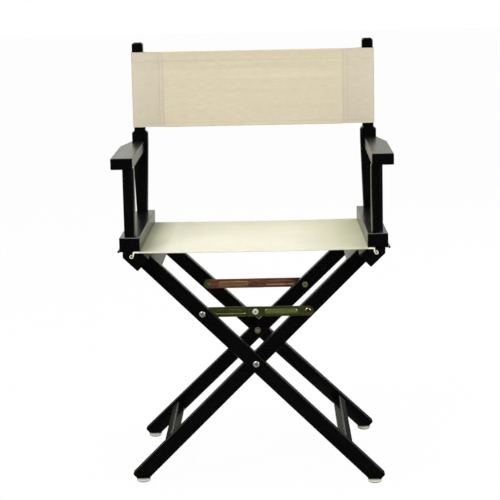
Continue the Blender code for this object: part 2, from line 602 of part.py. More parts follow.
def build_bolt(end):
    where = END_NAME[end]
    outside = end * (OUTER_LEG_Y + LEG_THICKNESS / 2 + seat_of(BOLT_HEAD_RADIUS))
    span = 2 * LEG_THICKNESS + FRAME_SPACE + seat_of(BOLT_HEAD_RADIUS) + seat_of(NUT_RADIUS) + NUT_HEIGHT
    bolt = headed(BOLT_RADIUS, BOLT_HEAD_RADIUS, BOLT_HEAD_HEIGHT, span + 0.001)
    piece(f"pivot_bolt_{where}", moved(bolt, (0, outside, 0), facing(end)), NICKEL, outer_body,
          (0, 0, PIVOT_Z))
    middle = end * (OUTER_LEG_Y - LEG_THICKNESS / 2 - FRAME_SPACE / 2)
    reach = FRAME_SPACE / 2 - seat_of(SPACER_RADIUS)
    spacer = ring(BOLT_RADIUS + FIT, SPACER_RADIUS, -reach, reach)
    piece(f"pivot_spacer_{where}", moved(spacer, (0, middle, 0), facing(end)), DULL_STEEL, outer_body,
          (0, 0, PIVOT_Z))
    inside = end * (INNER_LEG_Y - LEG_THICKNESS / 2 - seat_of(NUT_RADIUS))
    nut = ring(BOLT_RADIUS + FIT, NUT_RADIUS, 0, NUT_HEIGHT)
    piece(f"pivot_nut_{where}", moved(nut, (0, inside, 0), facing(-end)), DULL_STEEL, outer_body, (0, 0, PIVOT_Z))


# ---- Folding stays ---------------------------------------------------------------------------------
# The outer frame's half runs in the plane next to the inner legs, and the inner frame's half in the
# plane next to the outer legs, so each pin has a collar that fills the space it crosses.
# The rest of the space is for the inner leg, which leans towards the stay below its pin.
def stay_plane(side):
    """Middle of a stay half, measured from the outer leg's inner face towards the inner leg."""
    near = NEAR_ROOM + STAY_THICKNESS / 2
    return near if side == LEFT else near - STAY_THICKNESS - STAY_PLAY


def build_stay(end, side):
    """One half of a stay, with its half of the centre rivet and its pin. Local X runs to the middle."""
    label = f"{SIDE_NAME[side]}_{END_NAME[end]}"
    leg_face = OUTER_LEG_Y - LEG_THICKNESS / 2 - LEG_SPLAY * STAY_REACH
    parent = outer_frame if side == LEFT else inner_frame
    root = (side * STAY_HALF, 0, PIVOT_Z + STAY_REACH * sin(LEG_ANGLE))
    axis = empty(f"stay_{label}", root, parent=parent)
    toward = -side
    y_mid = end * (leg_face - stay_plane(side))
    bulge = 1 if side == LEFT else -1      # the rib stands away from the other half
    half = STAY_WIDTH / 2

    # Flat plate, round behind its pin and square-cornered past the centre rivet.
    tip = STAY_HALF + STAY_OVERRUN - OVERRUN_CORNER
    plate = arc((tip, OVERRUN_CORNER - half), OVERRUN_CORNER, -90, 0, 3)
    if side == LEFT and end == FRONT:
        ear = STAY_HALF + TAB_INSET
        plate = [(ear, -half), (ear + TAB_WIDTH * 0.35, -half - TAB_DEPTH),
                 (ear + TAB_WIDTH * 0.65, -half - TAB_DEPTH), (ear + TAB_WIDTH, -half)] + plate
    plate += arc((tip, half - OVERRUN_CORNER), OVERRUN_CORNER, 0, 90, 3)
    plate += arc((half - STAY_END_MARGIN, 0), half, 90, 270, 10)
    body = piece(
        f"stay_half_{label}",
        prism([(toward * x, z) for x, z in plate], y_mid - STAY_THICKNESS / 2, y_mid + STAY_THICKNESS / 2, along_y),
        STAY_STEEL, axis, root,
    )

    # Pressed rib: raised on one face and hollow on the other.
    out_y = -end * bulge
    face = y_mid + out_y * STAY_THICKNESS / 2
    back = y_mid - out_y * STAY_THICKNESS / 2

    def rib(width, base, top):
        levels = []
        for radius, y in ((width / 2, base), (width / 2 - RIB_SLOPE, top)):
            outline = arc((STAY_HALF - RIB_STOP - width / 2, 0), radius, -90, 90, 6)
            outline += arc((RIB_START + width / 2, 0), radius, 90, 270, 6)
            levels.append([(toward * x, y, z) for x, z in outline])
        return loft(levels)

    combine(body, rib(RIB_WIDTH, face - out_y * 0.0002, face + out_y * RIB_HEIGHT), "UNION")
    combine(body, rib(RIB_WIDTH - 0.0008, back - out_y * 0.0004, back + out_y * (RIB_HEIGHT - 0.0001)))

    hole(body, 0, y_mid - CLEAR, y_mid + CLEAR, 0, STAY_PIN_RADIUS + FIT)
    hole(body, toward * STAY_HALF, y_mid - CLEAR, y_mid + CLEAR, 0, STAY_PIN_RADIUS + FIT)

    # Centre rivet: this half fills its own plate's hole and ends just short of the other half's.
    head_side = 1 if side == RIGHT else -1
    head_face = y_mid + end * head_side * (STAY_THICKNESS / 2 + FIT)
    shank = STAY_THICKNESS + FIT + STAY_PLAY / 2 - FIT / 2
    rivet = headed(STAY_PIN_RADIUS, STAY_HEAD_RADIUS, STAY_TAIL_HEIGHT - 0.0002, shank, STAY_SIDES)
    piece(f"stay_rivet_{label}",
          moved(rivet, (toward * STAY_HALF, head_face, 0), facing(end * head_side)), NICKEL, axis, root)

    # Leg pin: head, shank through leg and stay, a collar that fills the free plane, and a low tail.
    gap_to_leg = stay_plane(side) - STAY_THICKNESS / 2 if side == LEFT \
        else FRAME_SPACE - stay_plane(side) - STAY_THICKNESS / 2
    collar = (seat_of(STAY_TAIL_RADIUS), gap_to_leg - FIT)
    through = gap_to_leg + STAY_THICKNESS + FIT
    outer_head = side == LEFT
    head_r, head_h = (STAY_HEAD_RADIUS, STAY_HEAD_HEIGHT) if outer_head else (STAY_HEAD_RADIUS, 0.0016)
    tail_r, tail_h = (STAY_TAIL_RADIUS, STAY_TAIL_HEIGHT) if outer_head else (STAY_HEAD_RADIUS, 0.0021)
    far = -LEG_THICKNESS - seat_of(head_r)
    r = STAY_PIN_RADIUS
    pin = turned([
        (0, far - head_h), (head_r * 0.4, far - head_h), (head_r * 0.78, far - head_h * 0.82),
        (head_r, far - head_h * 0.4), (head_r, far), (r, far), (r, collar[0]),
        (STAY_TAIL_RADIUS, collar[0]), (STAY_TAIL_RADIUS, collar[1]), (r, collar[1]), (r, through),
        (tail_r, through), (tail_r, through + tail_h * 0.4), (tail_r * 0.78, through + tail_h * 0.82),
        (tail_r * 0.4, through + tail_h), (0, through + tail_h),
    ], STAY_SIDES)
    if side == LEFT:
        pin = moved(pin, (0, end * leg_face, 0), facing(-end))
    else:
        pin = moved(pin, (0, end * (leg_face - FRAME_SPACE), 0), facing(end))
    piece(f"stay_pin_{label}", pin, NICKEL if outer_head else DULL_STEEL, parent, root)


# ---- Canvases ---------------------------------------------------------------------------------------
def build_seat():
    """One flat sheet: down each slot, round the dowel and up again."""
    loop = DOWEL_RADIUS + FIT + CANVAS_THICKNESS / 2
    level = BLOCK_TOP_Z + FIT + CANVAS_THICKNESS / 2
    dowel_z = BLOCK_TOP_Z - DOWEL_DEPTH
    drop_x = GROOVE_X - loop
    bend = CANVAS_THICKNESS
    right = arc((drop_x - bend, level - bend), bend, 90, 0, 4)
    right += arc((GROOVE_X, dowel_z), loop, 180, 470, 18)
    path = [(-x, z) for x, z in reversed(right)] + right
    reach = RAIL_END - CANVAS_INSET
    piece("seat_canvas", prism(ribbon(path, CANVAS_THICKNESS), -reach, reach, along_y), CANVAS_SEAT, left_body)


def build_back():
    """One band: its front runs in front of both sticks, and each end is folded round a stick."""
    half = CANVAS_THICKNESS / 2
    stick_front = UPRIGHT_Y - UPRIGHT_DEPTH / 2 - FIT
    stick_back = UPRIGHT_Y + UPRIGHT_DEPTH / 2 + FIT
    front, back = stick_front - half, stick_back + half
    outer = UPRIGHT_CENTRE_X + STICK_WIDTH / 2 + SLEEVE_ROOM + half
    stick_inner = UPRIGHT_CENTRE_X - STICK_WIDTH / 2
    bend = 3 * CANVAS_THICKNESS
    closing = front + CANVAS_THICKNESS + FIT
    right = arc((outer - bend, front + bend), bend, 270, 360, 4)
    right += arc((outer - bend, back - bend), bend, 0, 90, 4)
    edge = outer + half
    right += [(stick_inner - CANVAS_THICKNESS, back)]
    right += [(edge - SLEEVE_SEAM, closing), (edge - SLEEVE_HEM, closing)]
    path = [(-x, y) for x, y in reversed(right)] + right
    piece("back_canvas", prism(ribbon(path, CANVAS_THICKNESS), BACK_BOTTOM_Z, BACK_TOP_Z, along_z),
          CANVAS_BACK, left_body)


# ---- Assembly -----------------------------------------------------------------------------------------
for side in (LEFT, RIGHT):
    build_side(side)
build_frame("outer", outer_frame, OUTER_LEG_Y, LEFT)
build_frame("inner", inner_frame, INNER_LEG_Y, RIGHT)
for end in (FRONT, REAR):
    build_hinge(LEFT, end, outer_body)
    build_hinge(RIGHT, end, inner_frame)
    build_bolt(end)
    for side in (LEFT, RIGHT):
        build_stay(end, side)
build_seat()
build_back()
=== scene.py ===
"""A folding director chair: black lacquered hardwood, plated steel and two cotton canvases.

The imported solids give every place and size. Each section takes one piece, or a group of like
pieces, in the order in which the chair is put together.
"""

from math import cos, exp, hypot, pi, radians, sin

import bmesh
import bpy
from mathutils import Matrix, Vector, noise


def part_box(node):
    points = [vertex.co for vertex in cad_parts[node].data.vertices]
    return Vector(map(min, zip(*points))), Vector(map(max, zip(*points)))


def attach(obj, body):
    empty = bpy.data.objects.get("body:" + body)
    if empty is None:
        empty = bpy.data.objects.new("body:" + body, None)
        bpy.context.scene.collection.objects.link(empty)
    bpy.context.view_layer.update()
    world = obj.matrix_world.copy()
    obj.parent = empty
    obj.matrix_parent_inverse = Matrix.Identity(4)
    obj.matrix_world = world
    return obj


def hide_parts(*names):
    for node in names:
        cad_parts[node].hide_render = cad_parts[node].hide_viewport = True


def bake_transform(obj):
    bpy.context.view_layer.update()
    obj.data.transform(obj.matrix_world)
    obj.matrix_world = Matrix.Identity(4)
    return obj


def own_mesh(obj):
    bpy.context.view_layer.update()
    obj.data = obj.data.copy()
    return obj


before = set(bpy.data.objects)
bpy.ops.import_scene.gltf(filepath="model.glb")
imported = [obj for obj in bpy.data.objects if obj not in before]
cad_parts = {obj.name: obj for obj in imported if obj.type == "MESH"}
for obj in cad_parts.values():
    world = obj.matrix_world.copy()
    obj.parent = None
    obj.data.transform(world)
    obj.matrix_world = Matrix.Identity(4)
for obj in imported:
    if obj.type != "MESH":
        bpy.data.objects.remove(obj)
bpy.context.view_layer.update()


# ---- Camera -------------------------------------------------------------------------------------
# A long lens, a little over three metres in front of the seat and just above the stick tops. It
# looks down by nine degrees and is turned a degree to the left.
CAMERA_PLACE = (0.04449, -3.27995, 0.95699)
CAMERA_TURN = 0.01683        # to the left, radians
CAMERA_TILT = 0.15665        # down
CAMERA_ROLL = 0.02135
CAMERA_LENS, CAMERA_SENSOR = 115.71, 36.0


def added(name, data):
    """A new object with this data, linked into the scene."""
    made = bpy.data.objects.new(name, data)
    bpy.context.scene.collection.objects.link(made)
    return made


camera_data = bpy.data.cameras.new("camera")
camera_data.lens, camera_data.sensor_width = CAMERA_LENS, CAMERA_SENSOR
camera = added("camera", camera_data)
camera.matrix_world = (
    Matrix.Translation(CAMERA_PLACE)
    @ Matrix.Rotation(CAMERA_TURN, 4, "Z")
    @ Matrix.Rotation(pi / 2 - CAMERA_TILT, 4, "X")
    @ Matrix.Rotation(-CAMERA_ROLL, 4, "Z")
)
bpy.context.scene.camera = camera
bpy.context.scene.view_settings.view_transform = "Standard"


# ---- Room ---------------------------------------------------------------------------------------
# A plain pale floor in an evenly lit white room. The floor and the walls show as white, and the
# floor keeps a faint shadow under the chair. Glossy faces see the room tinted and less bright: it
# is dim behind the camera, and dark in a band on either side.
WHITE = (1, 1, 1, 1)
ROOM_LIGHT, ROOM_LEVEL = (1.0, 0.985, 0.96, 1), 0.45    # what the walls give to matt surfaces
FLOOR_HALF = 40.0
FLOOR_PAINT = (0.86, 0.9)
FLOOR_WHITE = 0.97           # how much of the floor's own white the camera sees over its shading
DIM, DIM_SIDES = 0.02, 0.03  # what gloss sees of the room behind the camera, and in its side bands
WALL_TINT, WALL_TINT_RIGHT = (0.73, 0.75, 0.67, 1), (0.52, 0.54, 0.47, 1)
WALL_TURN = (-0.06, 0.10)    # between these headings to the right, one tint becomes the other
WALL_DIM, WALL_BAND = (-0.65, -0.05), (0.20, 0.24, 0.40, 0.55)  # headings rearwards and sideways
FLOOR_TINT = (0.62, 0.63, 0.53, 1)
FLOOR_DIM, FLOOR_BAND = (-0.2, 0.3), (0.15, 0.21, 8, 9)         # metres rearwards, and angles
BAND_CENTRE = 1.0            # the floor's bands spread from this far in front of the seat's middle
LAMP_AIM = 0.45              # the height that most lamps face


def node(tree, kind, links=(), **values):
    """A shader node with its settings and values. links pairs an input's name with a socket."""
    made = tree.nodes.new(kind)
    for name, value in values.items():
        if hasattr(made, name):
            setattr(made, name, value)
        else:
            made.inputs[name.replace("_", " ")].default_value = value
    for name, socket in links:
        tree.links.new(socket, made.inputs[name])
    return made


def filled(tree, made, *pairs):
    """The node with its numbered inputs filled, each from a socket or with a plain value."""
    for number, value in pairs:
        if isinstance(value, bpy.types.NodeSocket):
            tree.links.new(value, made.inputs[number])
        else:
            made.inputs[number].default_value = value
    return made


def maths(tree, operation, *values):
    """What a Math node makes of one or two sockets or numbers."""
    made = node(tree, "ShaderNodeMath", operation=operation)
    return filled(tree, made, *enumerate(values)).outputs[0]


def blend_colours(tree, share, first, second):
    """A colour between two others. Each is a socket or a plain colour."""
    mixed = node(tree, "ShaderNodeMix", [("Factor", share)], data_type="RGBA")
    return filled(tree, mixed, (6, first), (7, second)).outputs[2]


def between(tree, value, low, high, out_low=0.0, out_high=1.0, **manner):
    """value, stretched so that low to high becomes out_low to out_high."""
    return node(tree, "ShaderNodeMapRange", [("Value", value)], From_Min=low, From_Max=high,
                To_Min=out_low, To_Max=out_high, **manner).outputs[0]


def parted(tree, vector):
    """The X, Y and Z of a vector, by name."""
    return node(tree, "ShaderNodeSeparateXYZ", [(0, vector)]).outputs


def bare_tree(owner):
    """The empty node tree of a world or a material."""
    owner.use_nodes = True
    owner.node_tree.nodes.clear()
    return owner.node_tree


def seen_directly(tree):
    """Two masks: rays from the camera, from gloss or through glass, and those that gloss sends."""
    rays = node(tree, "ShaderNodeLightPath").outputs
    gloss = rays["Is Glossy Ray"]
    direct = maths(tree, "MAXIMUM", rays["Is Camera Ray"], gloss)
    return maths(tree, "MAXIMUM", direct, rays["Is Transmission Ray"]), gloss


def dimmed(tree, gloss, depth, fall, across, band):
    """1, but on glossy rays it falls forwards to DIM, between fall's last measure and its first.

    Across, a dark band on both sides of the middle falls to DIM_SIDES between its first two
    measures and rises again between its last two."""
    soft = {"interpolation_type": "SMOOTHSTEP"}
    behind = between(tree, depth, *fall, DIM, 1.0, **soft)
    off = maths(tree, "ABSOLUTE", across)
    near = between(tree, off, *band[:2], 1.0, DIM_SIDES, **soft)
    far = between(tree, off, *band[2:], DIM_SIDES, 1.0, **soft)
    left = maths(tree, "MULTIPLY", behind, maths(tree, "MAXIMUM", near, far))
    mixed = node(tree, "ShaderNodeMix", [("Factor", gloss), (3, left)], data_type="FLOAT", A=1.0)
    return mixed.outputs[0]


world = bpy.data.worlds.new("white_room")
bpy.context.scene.world = world
tree = bare_tree(world)
lighting = node(tree, "ShaderNodeBackground", Color=ROOM_LIGHT, Strength=ROOM_LEVEL)
direct, gloss = seen_directly(tree)
heading = parted(tree, node(tree, "ShaderNodeTexCoord").outputs["Generated"])
tint = blend_colours(tree, between(tree, heading["X"], *WALL_TURN), WALL_TINT, WALL_TINT_RIGHT)
lit = dimmed(tree, gloss, heading["Y"], WALL_DIM, heading["X"], WALL_BAND)
walls = node(tree, "ShaderNodeBackground",
             [("Color", blend_colours(tree, gloss, WHITE, tint)), ("Strength", lit)])
room = node(tree, "ShaderNodeMixShader",
            [(0, direct), (1, lighting.outputs[0]), (2, walls.outputs[0])])
node(tree, "ShaderNodeOutputWorld", [("Surface", room.outputs[0])])


def lamp(name, place, aim, size, power):
    """A large soft square lamp that faces a height above the middle of the floor."""
    data = bpy.data.lights.new(name, "AREA")
    data.shape, data.size, data.energy = "SQUARE", size, power
    light = added(name, data)
    light.location = place
    light.rotation_euler = (Vector((0, 0, aim)) - Vector(place)).to_track_quat("-Z", "Y").to_euler()


lamp("key_lamp", (-1.6, -2.4, 2.9), LAMP_AIM, 1.1, 50)
lamp("fill_lamp", (2.4, -1.8, 1.6), LAMP_AIM, 1.2, 23)
lamp("top_lamp", (-0.1, -0.1, 3.3), 0.4, 1.2, 36)
lamp("rear_lamp", (1.6, 2.8, 2.3), LAMP_AIM, 1.6, 30)

pale_floor = bpy.data.materials.new("pale_floor")
tree = bare_tree(pale_floor)
place = node(tree, "ShaderNodeTexCoord").outputs["Object"]
mottle = node(tree, "ShaderNodeTexNoise", [("Vector", place)], Scale=3.0, Detail=3.0)
paint = between(tree, mottle.outputs["Fac"], 0, 1, *FLOOR_PAINT)
matt = node(tree, "ShaderNodeBsdfDiffuse", [("Color", paint)])
direct, gloss = seen_directly(tree)
spot = parted(tree, place)
sideways = maths(tree, "DIVIDE", spot["X"], maths(tree, "ADD", spot["Y"], BAND_CENTRE))
lit = dimmed(tree, gloss, spot["Y"], FLOOR_DIM, sideways, FLOOR_BAND)
white = node(tree, "ShaderNodeEmission",
             [("Color", blend_colours(tree, gloss, WHITE, FLOOR_TINT)), ("Strength", lit)])
cover = node(tree, "ShaderNodeMixShader", [(0, maths(tree, "MULTIPLY", direct, FLOOR_WHITE)),
                                           (1, matt.outputs[0]), (2, white.outputs[0])])
node(tree, "ShaderNodeOutputMaterial", [("Surface", cover.outputs[0])])


def mesh_of(name, shape, smooth=True):
    """The bmesh as a mesh, with its faces smooth or flat. The bmesh is used up."""
    for face in shape.faces:
        face.smooth = smooth
    mesh = bpy.data.meshes.new(name)
    shape.to_mesh(mesh)
    shape.free()
    return mesh


shape = bmesh.new()
bmesh.ops.create_grid(shape, x_segments=4, y_segments=4, size=FLOOR_HALF)
floor_mesh = mesh_of("floor", shape, smooth=False)
floor_mesh.materials.append(pale_floor)
added("floor", floor_mesh)


# ---- Wooden parts -------------------------------------------------------------------------------
# Beech rails, posts, uprights, arms, legs and stretchers, sprayed with a satin black lacquer. The
# grain runs along each board, and its pores still show as fine lines under the lacquer.
LACQUER, LACQUER_THIN = (0.0005, 0.0006, 0.0009, 1), (0.0014, 0.0014, 0.0016, 1)
LACQUER_GLOSS = 0.62
LACQUER_ROUGH, PORE_ROUGH = (0.19, 0.24), 0.10    # a pore's is added to the lacquer's
PORE, FIGURE, SPECK = (0.011, 0.00042, 0.00042), (0.16, 0.006, 0.006), (0.0011, 0.0011, 0.0011)
PORE_DEPTH = 0.00006
DUST, DUST_SHARE = (0.012, 0.0115, 0.010, 1), 0.25
LEG_ANGLE = 44.0             # a leg above level, degrees


def group(name, *outputs, **numbers):
    """An empty node group with its two end nodes.

    A Vector and these numbers go in, and these masks come out."""
    tree = bpy.data.node_groups.new(name, "ShaderNodeTree")
    new_socket = tree.interface.new_socket
    new_socket(name="Vector", in_out="INPUT", socket_type="NodeSocketVector")
    for label, value in numbers.items():
        new_socket(name=label, in_out="INPUT", socket_type="NodeSocketFloat").default_value = value
    for label in outputs:
        new_socket(name=label, in_out="OUTPUT", socket_type="NodeSocketFloat")
    return tree, tree.nodes.new("NodeGroupInput"), tree.nodes.new("NodeGroupOutput")


def stretched_noise(tree, vector, sizes, detail=2.0):
    """Noise whose grains measure sizes, in metres, along the three axes."""
    scaled = node(tree, "ShaderNodeVectorMath", [(0, vector)], operation="MULTIPLY")
    scaled.inputs[1].default_value = [1 / size for size in sizes]
    return node(tree, "ShaderNodeTexNoise", [("Vector", scaled.outputs[0])], Scale=1.0,
                Detail=detail).outputs["Fac"]


def wire(tree, made, **sockets):
    """Links sockets to a node's inputs, each by the input's name."""
    for name, socket in sockets.items():
        tree.links.new(socket, made.inputs[name.replace("_", " ")])


# The grain lies along X. Pores are short fine lines, Figure is the broad light and dark of the
# wood, and Dust is its fine specks.
wood_grain, start, end = group("wood_grain", "Pores", "Figure", "Dust")
along = start.outputs["Vector"]
pores = stretched_noise(wood_grain, along, PORE)
figure = stretched_noise(wood_grain, along, FIGURE, 4.0)
dust = stretched_noise(wood_grain, along, SPECK, 1.0)
wire(wood_grain, end, Pores=between(wood_grain, pores, 0.55, 0.72),
     Figure=between(wood_grain, figure, 0.3, 0.7), Dust=between(wood_grain, dust, 0.66, 0.78))


def new_material(name):
    """A material with a bare Principled shader on its output."""
    made = bpy.data.materials.new(name)
    tree = bare_tree(made)
    shader = node(tree, "ShaderNodeBsdfPrincipled")
    node(tree, "ShaderNodeOutputMaterial", [("Surface", shader.outputs[0])])
    return made, tree, shader


def placed_group(tree, used, vector):
    """What a node group, placed in a material, puts out there."""
    made = tree.nodes.new("ShaderNodeGroup")
    made.node_tree = used
    wire(tree, made, Vector=vector)
    return made.outputs


def turned_place(tree, turn):
    """Object coordinates turned so that the piece's length lies along X."""
    place = node(tree, "ShaderNodeTexCoord")
    return node(tree, "ShaderNodeMapping", [("Vector", place.outputs["Object"])],
                Rotation=[radians(angle) for angle in turn]).outputs[0]


def bumped(tree, height, strength, depth):
    """The normal of a surface whose relief is depth metres high."""
    return node(tree, "ShaderNodeBump", [("Height", height)], Strength=strength,
                Distance=depth).outputs[0]


def black_lacquer(name, turn):
    """Satin black over beech, with the grain turned along the boards."""
    made, tree, shader = new_material(name)
    grain = placed_group(tree, wood_grain, turned_place(tree, turn))
    colour = blend_colours(tree, grain["Figure"], LACQUER, LACQUER_THIN)
    colour = blend_colours(tree, between(tree, grain["Dust"], 0, 1, 0, DUST_SHARE), colour, DUST)
    satin = between(tree, grain["Figure"], 0, 1, *LACQUER_ROUGH)
    dull = maths(tree, "ADD", satin, between(tree, grain["Pores"], 0, 1, 0, PORE_ROUGH))
    sunk = between(tree, grain["Pores"], 0, 1, 1, 0)
    shader.inputs["Specular IOR Level"].default_value = LACQUER_GLOSS
    wire(tree, shader, Base_Color=colour, Roughness=dull,
         Normal=bumped(tree, sunk, 0.35, PORE_DEPTH))
    return made


lacquer_along_depth = black_lacquer("lacquer_along_depth", (0, 0, -90))
lacquer_upright = black_lacquer("lacquer_upright", (0, 90, 0))
lacquer_outer_legs = black_lacquer("lacquer_outer_legs", (0, -LEG_ANGLE, 0))
lacquer_inner_legs = black_lacquer("lacquer_inner_legs", (0, LEG_ANGLE, 0))


def dress(names, finish):
    """Gives solids of the frame their finish."""
    for name in names:
        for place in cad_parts[name].material_slots:
            place.material = finish


SIDES = (("left", -1), ("right", 1))
ENDS = (("front", -1), ("rear", 1))
for side, _ in SIDES:
    dress([f"side_rail_{side}", f"armrest_{side}"], lacquer_along_depth)
    dress([f"front_post_{side}", f"rear_upright_{side}"], lacquer_upright)
for label, finish in (("outer", lacquer_outer_legs), ("inner", lacquer_inner_legs)):
    dress([f"front_leg_{label}", f"rear_leg_{label}"], finish)
    dress([f"top_rail_{label}", f"stretcher_{label}"], lacquer_along_depth)


# ---- Hinges -------------------------------------------------------------------------------------
# Rolled steel butt hinges between the seat rails and the leg frames, on round steel pins. Their
# zinc plating has a yellow passivated coat.
ZINC, ZINC_DARK, ZINC_WORN = (0.48, 0.40, 0.25, 1), (0.22, 0.18, 0.12, 1), (0.16, 0.14, 0.12, 1)
BRUSH, BLOOM, WEAR = (0.02, 0.00025, 0.00025), (0.012, 0.005, 0.005), (0.0016, 0.0012, 0.0012)
BRUSH_DEPTH = 0.00003
WORN_METAL = 0.55            # the share of its metal that a worn spot still shows

# Brush is the fine scratching along X, Bloom the cloudy change of the plating, Wear its spots.
plated, start, end = group("plated_steel", "Brush", "Bloom", "Wear")
along = start.outputs["Vector"]
brush = stretched_noise(plated, along, BRUSH, 3.0)
bloom = stretched_noise(plated, along, BLOOM, 3.0)
wear = stretched_noise(plated, along, WEAR, 4.0)
wire(plated, end, Brush=brush, Bloom=between(plated, bloom, 0.32, 0.68),
     Wear=between(plated, wear, 0.60, 0.74))


def plating(name, light, dark, worn, rough=(0.22, 0.42), metal=1.0, turn=(0, 0, 0)):
    """Plated steel whose colour clouds between light and dark, with small worn spots."""
    made, tree, shader = new_material(name)
    used = placed_group(tree, plated, turned_place(tree, turn))
    colour = blend_colours(tree, used["Bloom"], dark, light)
    colour = blend_colours(tree, used["Wear"], colour, worn)
    wire(tree, shader, Base_Color=colour, Roughness=between(tree, used["Brush"], 0.3, 0.7, *rough),
         Metallic=between(tree, used["Wear"], 0, 1, metal, metal * WORN_METAL),
         Normal=bumped(tree, used["Brush"], 0.25, BRUSH_DEPTH))
    return made


zinc_plate = plating("zinc_plate", ZINC, ZINC_DARK, ZINC_WORN, turn=(0, 0, -90))
for side, _ in SIDES:
    for end_name, _ in ENDS:
        dress([f"hinge_upper_leaf_{side}_{end_name}", f"hinge_lower_leaf_{side}_{end_name}",
               f"hinge_pin_{side}_{end_name}"], zinc_plate)


# ---- Glides -------------------------------------------------------------------------------------
# Round off-white nylon glides, each nailed up into the foot of a leg. The mould leaves a fine
# grain, the sole is scuffed grey, and grime with painted shade darkens the lower edge and the rim.
NYLON, NYLON_SHADE = (0.84, 0.85, 0.75, 1), (0.76, 0.77, 0.66, 1)
SCUFF, SCUFF_HEIGHT = (0.30, 0.28, 0.24, 1), 0.0016
# Grime and painted shade, darkest on the lower edge and round the rim.
GRIME_AND_SHADE, GRIME_AND_SHADE_SHARE = (0.24, 0.25, 0.19, 1), 0.8
GRIME_AND_SHADE_HEIGHTS = ((0.0046, 0.0018), (0.0060, 0.0076))    # from clean to dirtiest: the edge, the rim
MOULD_GRAIN, MOULD_DEPTH = (0.0005, 0.0005, 0.0005), 0.00008

nylon, tree, shader = new_material("off_white_nylon")
place = node(tree, "ShaderNodeTexCoord").outputs["Object"]
cloud = between(tree, stretched_noise(tree, place, (0.011, 0.011, 0.006), 3.0), 0.3, 0.7)
colour = blend_colours(tree, cloud, NYLON_SHADE, NYLON)
height = parted(tree, place)["Z"]
scratches = between(tree, stretched_noise(tree, place, (0.002, 0.0012, 0.002)), 0.4, 0.6)
scuffed = maths(tree, "MULTIPLY", between(tree, height, 0.0, SCUFF_HEIGHT, 0.75, 0.0), scratches)
colour = blend_colours(tree, scuffed, colour, SCUFF)
# Grime and painted shade on the lower edge and round the rim.
for clean, dirtiest in GRIME_AND_SHADE_HEIGHTS:
    grime_and_shade = between(tree, height, clean, dirtiest, 0.0, GRIME_AND_SHADE_SHARE)
    colour = blend_colours(tree, grime_and_shade, colour, GRIME_AND_SHADE)
wire(tree, shader, Base_Color=colour, Roughness=between(tree, cloud, 0, 1, 0.38, 0.5),
     Normal=bumped(tree, stretched_noise(tree, place, MOULD_GRAIN), 0.25, MOULD_DEPTH))
dress([f"glide_{label}_{end_name}" for label in ("outer", "inner") for end_name, _ in ENDS], nylon)


# ---- Seat dowels --------------------------------------------------------------------------------
# Thin round beech sticks, left bare, that lock the seat's loops in their grooves. Each end is
# dark in its middle.
BEECH, BEECH_DARK, BEECH_PORE = (0.74, 0.66, 0.48, 1), (0.62, 0.52, 0.36, 1), (0.22, 0.13, 0.07, 1)
END_DOT, END_DOT_RADIUS = (0.03, 0.02, 0.012, 1), 0.0009

bare_beech, tree, shader = new_material("bare_beech")
grain = placed_group(tree, wood_grain, turned_place(tree, (0, 0, -90)))
colour = blend_colours(tree, grain["Figure"], BEECH_DARK, BEECH)
colour = blend_colours(tree, between(tree, grain["Pores"], 0, 1, 0, 0.6), colour, BEECH_PORE)
place = parted(tree, node(tree, "ShaderNodeTexCoord").outputs["Object"])
beside = node(tree, "ShaderNodeCombineXYZ",
              [("X", maths(tree, "ABSOLUTE", place["X"])), ("Z", place["Z"])])
dowel_low, dowel_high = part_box("seat_dowel_inner")
from_end_middle = node(tree, "ShaderNodeVectorMath", [(0, beside.outputs[0])], operation="DISTANCE")
from_end_middle.inputs[1].default_value = ((dowel_low[0] + dowel_high[0]) / 2, 0,
                                      (dowel_low[2] + dowel_high[2]) / 2)
end_dot = between(tree, from_end_middle.outputs["Value"], END_DOT_RADIUS * 1.3, END_DOT_RADIUS)
colour = blend_colours(tree, end_dot, colour, END_DOT)
wire(tree, shader, Base_Color=colour, Roughness=between(tree, grain["Figure"], 0, 1, 0.55, 0.72),
     Normal=bumped(tree, grain["Pores"], 0.4, 0.0001))
dress(["seat_dowel_outer", "seat_dowel_inner"], bare_beech)


# ---- Pivot bolts --------------------------------------------------------------------------------
# A bright steel bolt joins each pair of crossed legs, with a spacer between them and a round nut
# inside. Its domed head has a cross slot, whose faces are painted near black as shade.
STEEL, STEEL_DARK, STEEL_WORN = (0.95, 0.92, 0.82, 1), (0.66, 0.63, 0.54, 1), (0.50, 0.47, 0.40, 1)
DULL, DULL_DARK, DULL_WORN = (0.42, 0.39, 0.22, 1), (0.24, 0.23, 0.12, 1), (0.16, 0.14, 0.09, 1)
# The slot's near-black faces are painted shade in its shallow recess.
SLOT_SHADE, SLOT_SHADE_DARK, SLOT_SHADE_WORN = (0.05, 0.045, 0.035, 1), (0.02, 0.02, 0.02, 1), (0.01, 0.01, 0.01, 1)
BRIGHT_ROUGH = (0.17, 0.27)
PIVOT_Z = 0.2405
BOLT_HEAD_RADIUS, BOLT_HEAD_HEIGHT = 0.0062, 0.0026
HEAD_COVER, HEAD_ROUND = 0.0005, 0.0002  # how far a slotted head stands out over a plain one
HEAD_EDGE = 0.0004
HEAD_DOME = ((1, 0.42), (0.9, 0.68), (0.7, 0.88), (0.4, 1), (0, 1))  # shares of radius and height
SLOT_LENGTH, SLOT_WIDTH = 1.2, 0.19      # shares of the head's radius
SLOT_TAPER = 0.72            # the share of both that is left at the slot's bottom
SLOT_DEPTH, CUTTER_HEIGHT = 0.00045, 0.002
SHARP = 38                   # edges of metal past this many degrees stay sharp

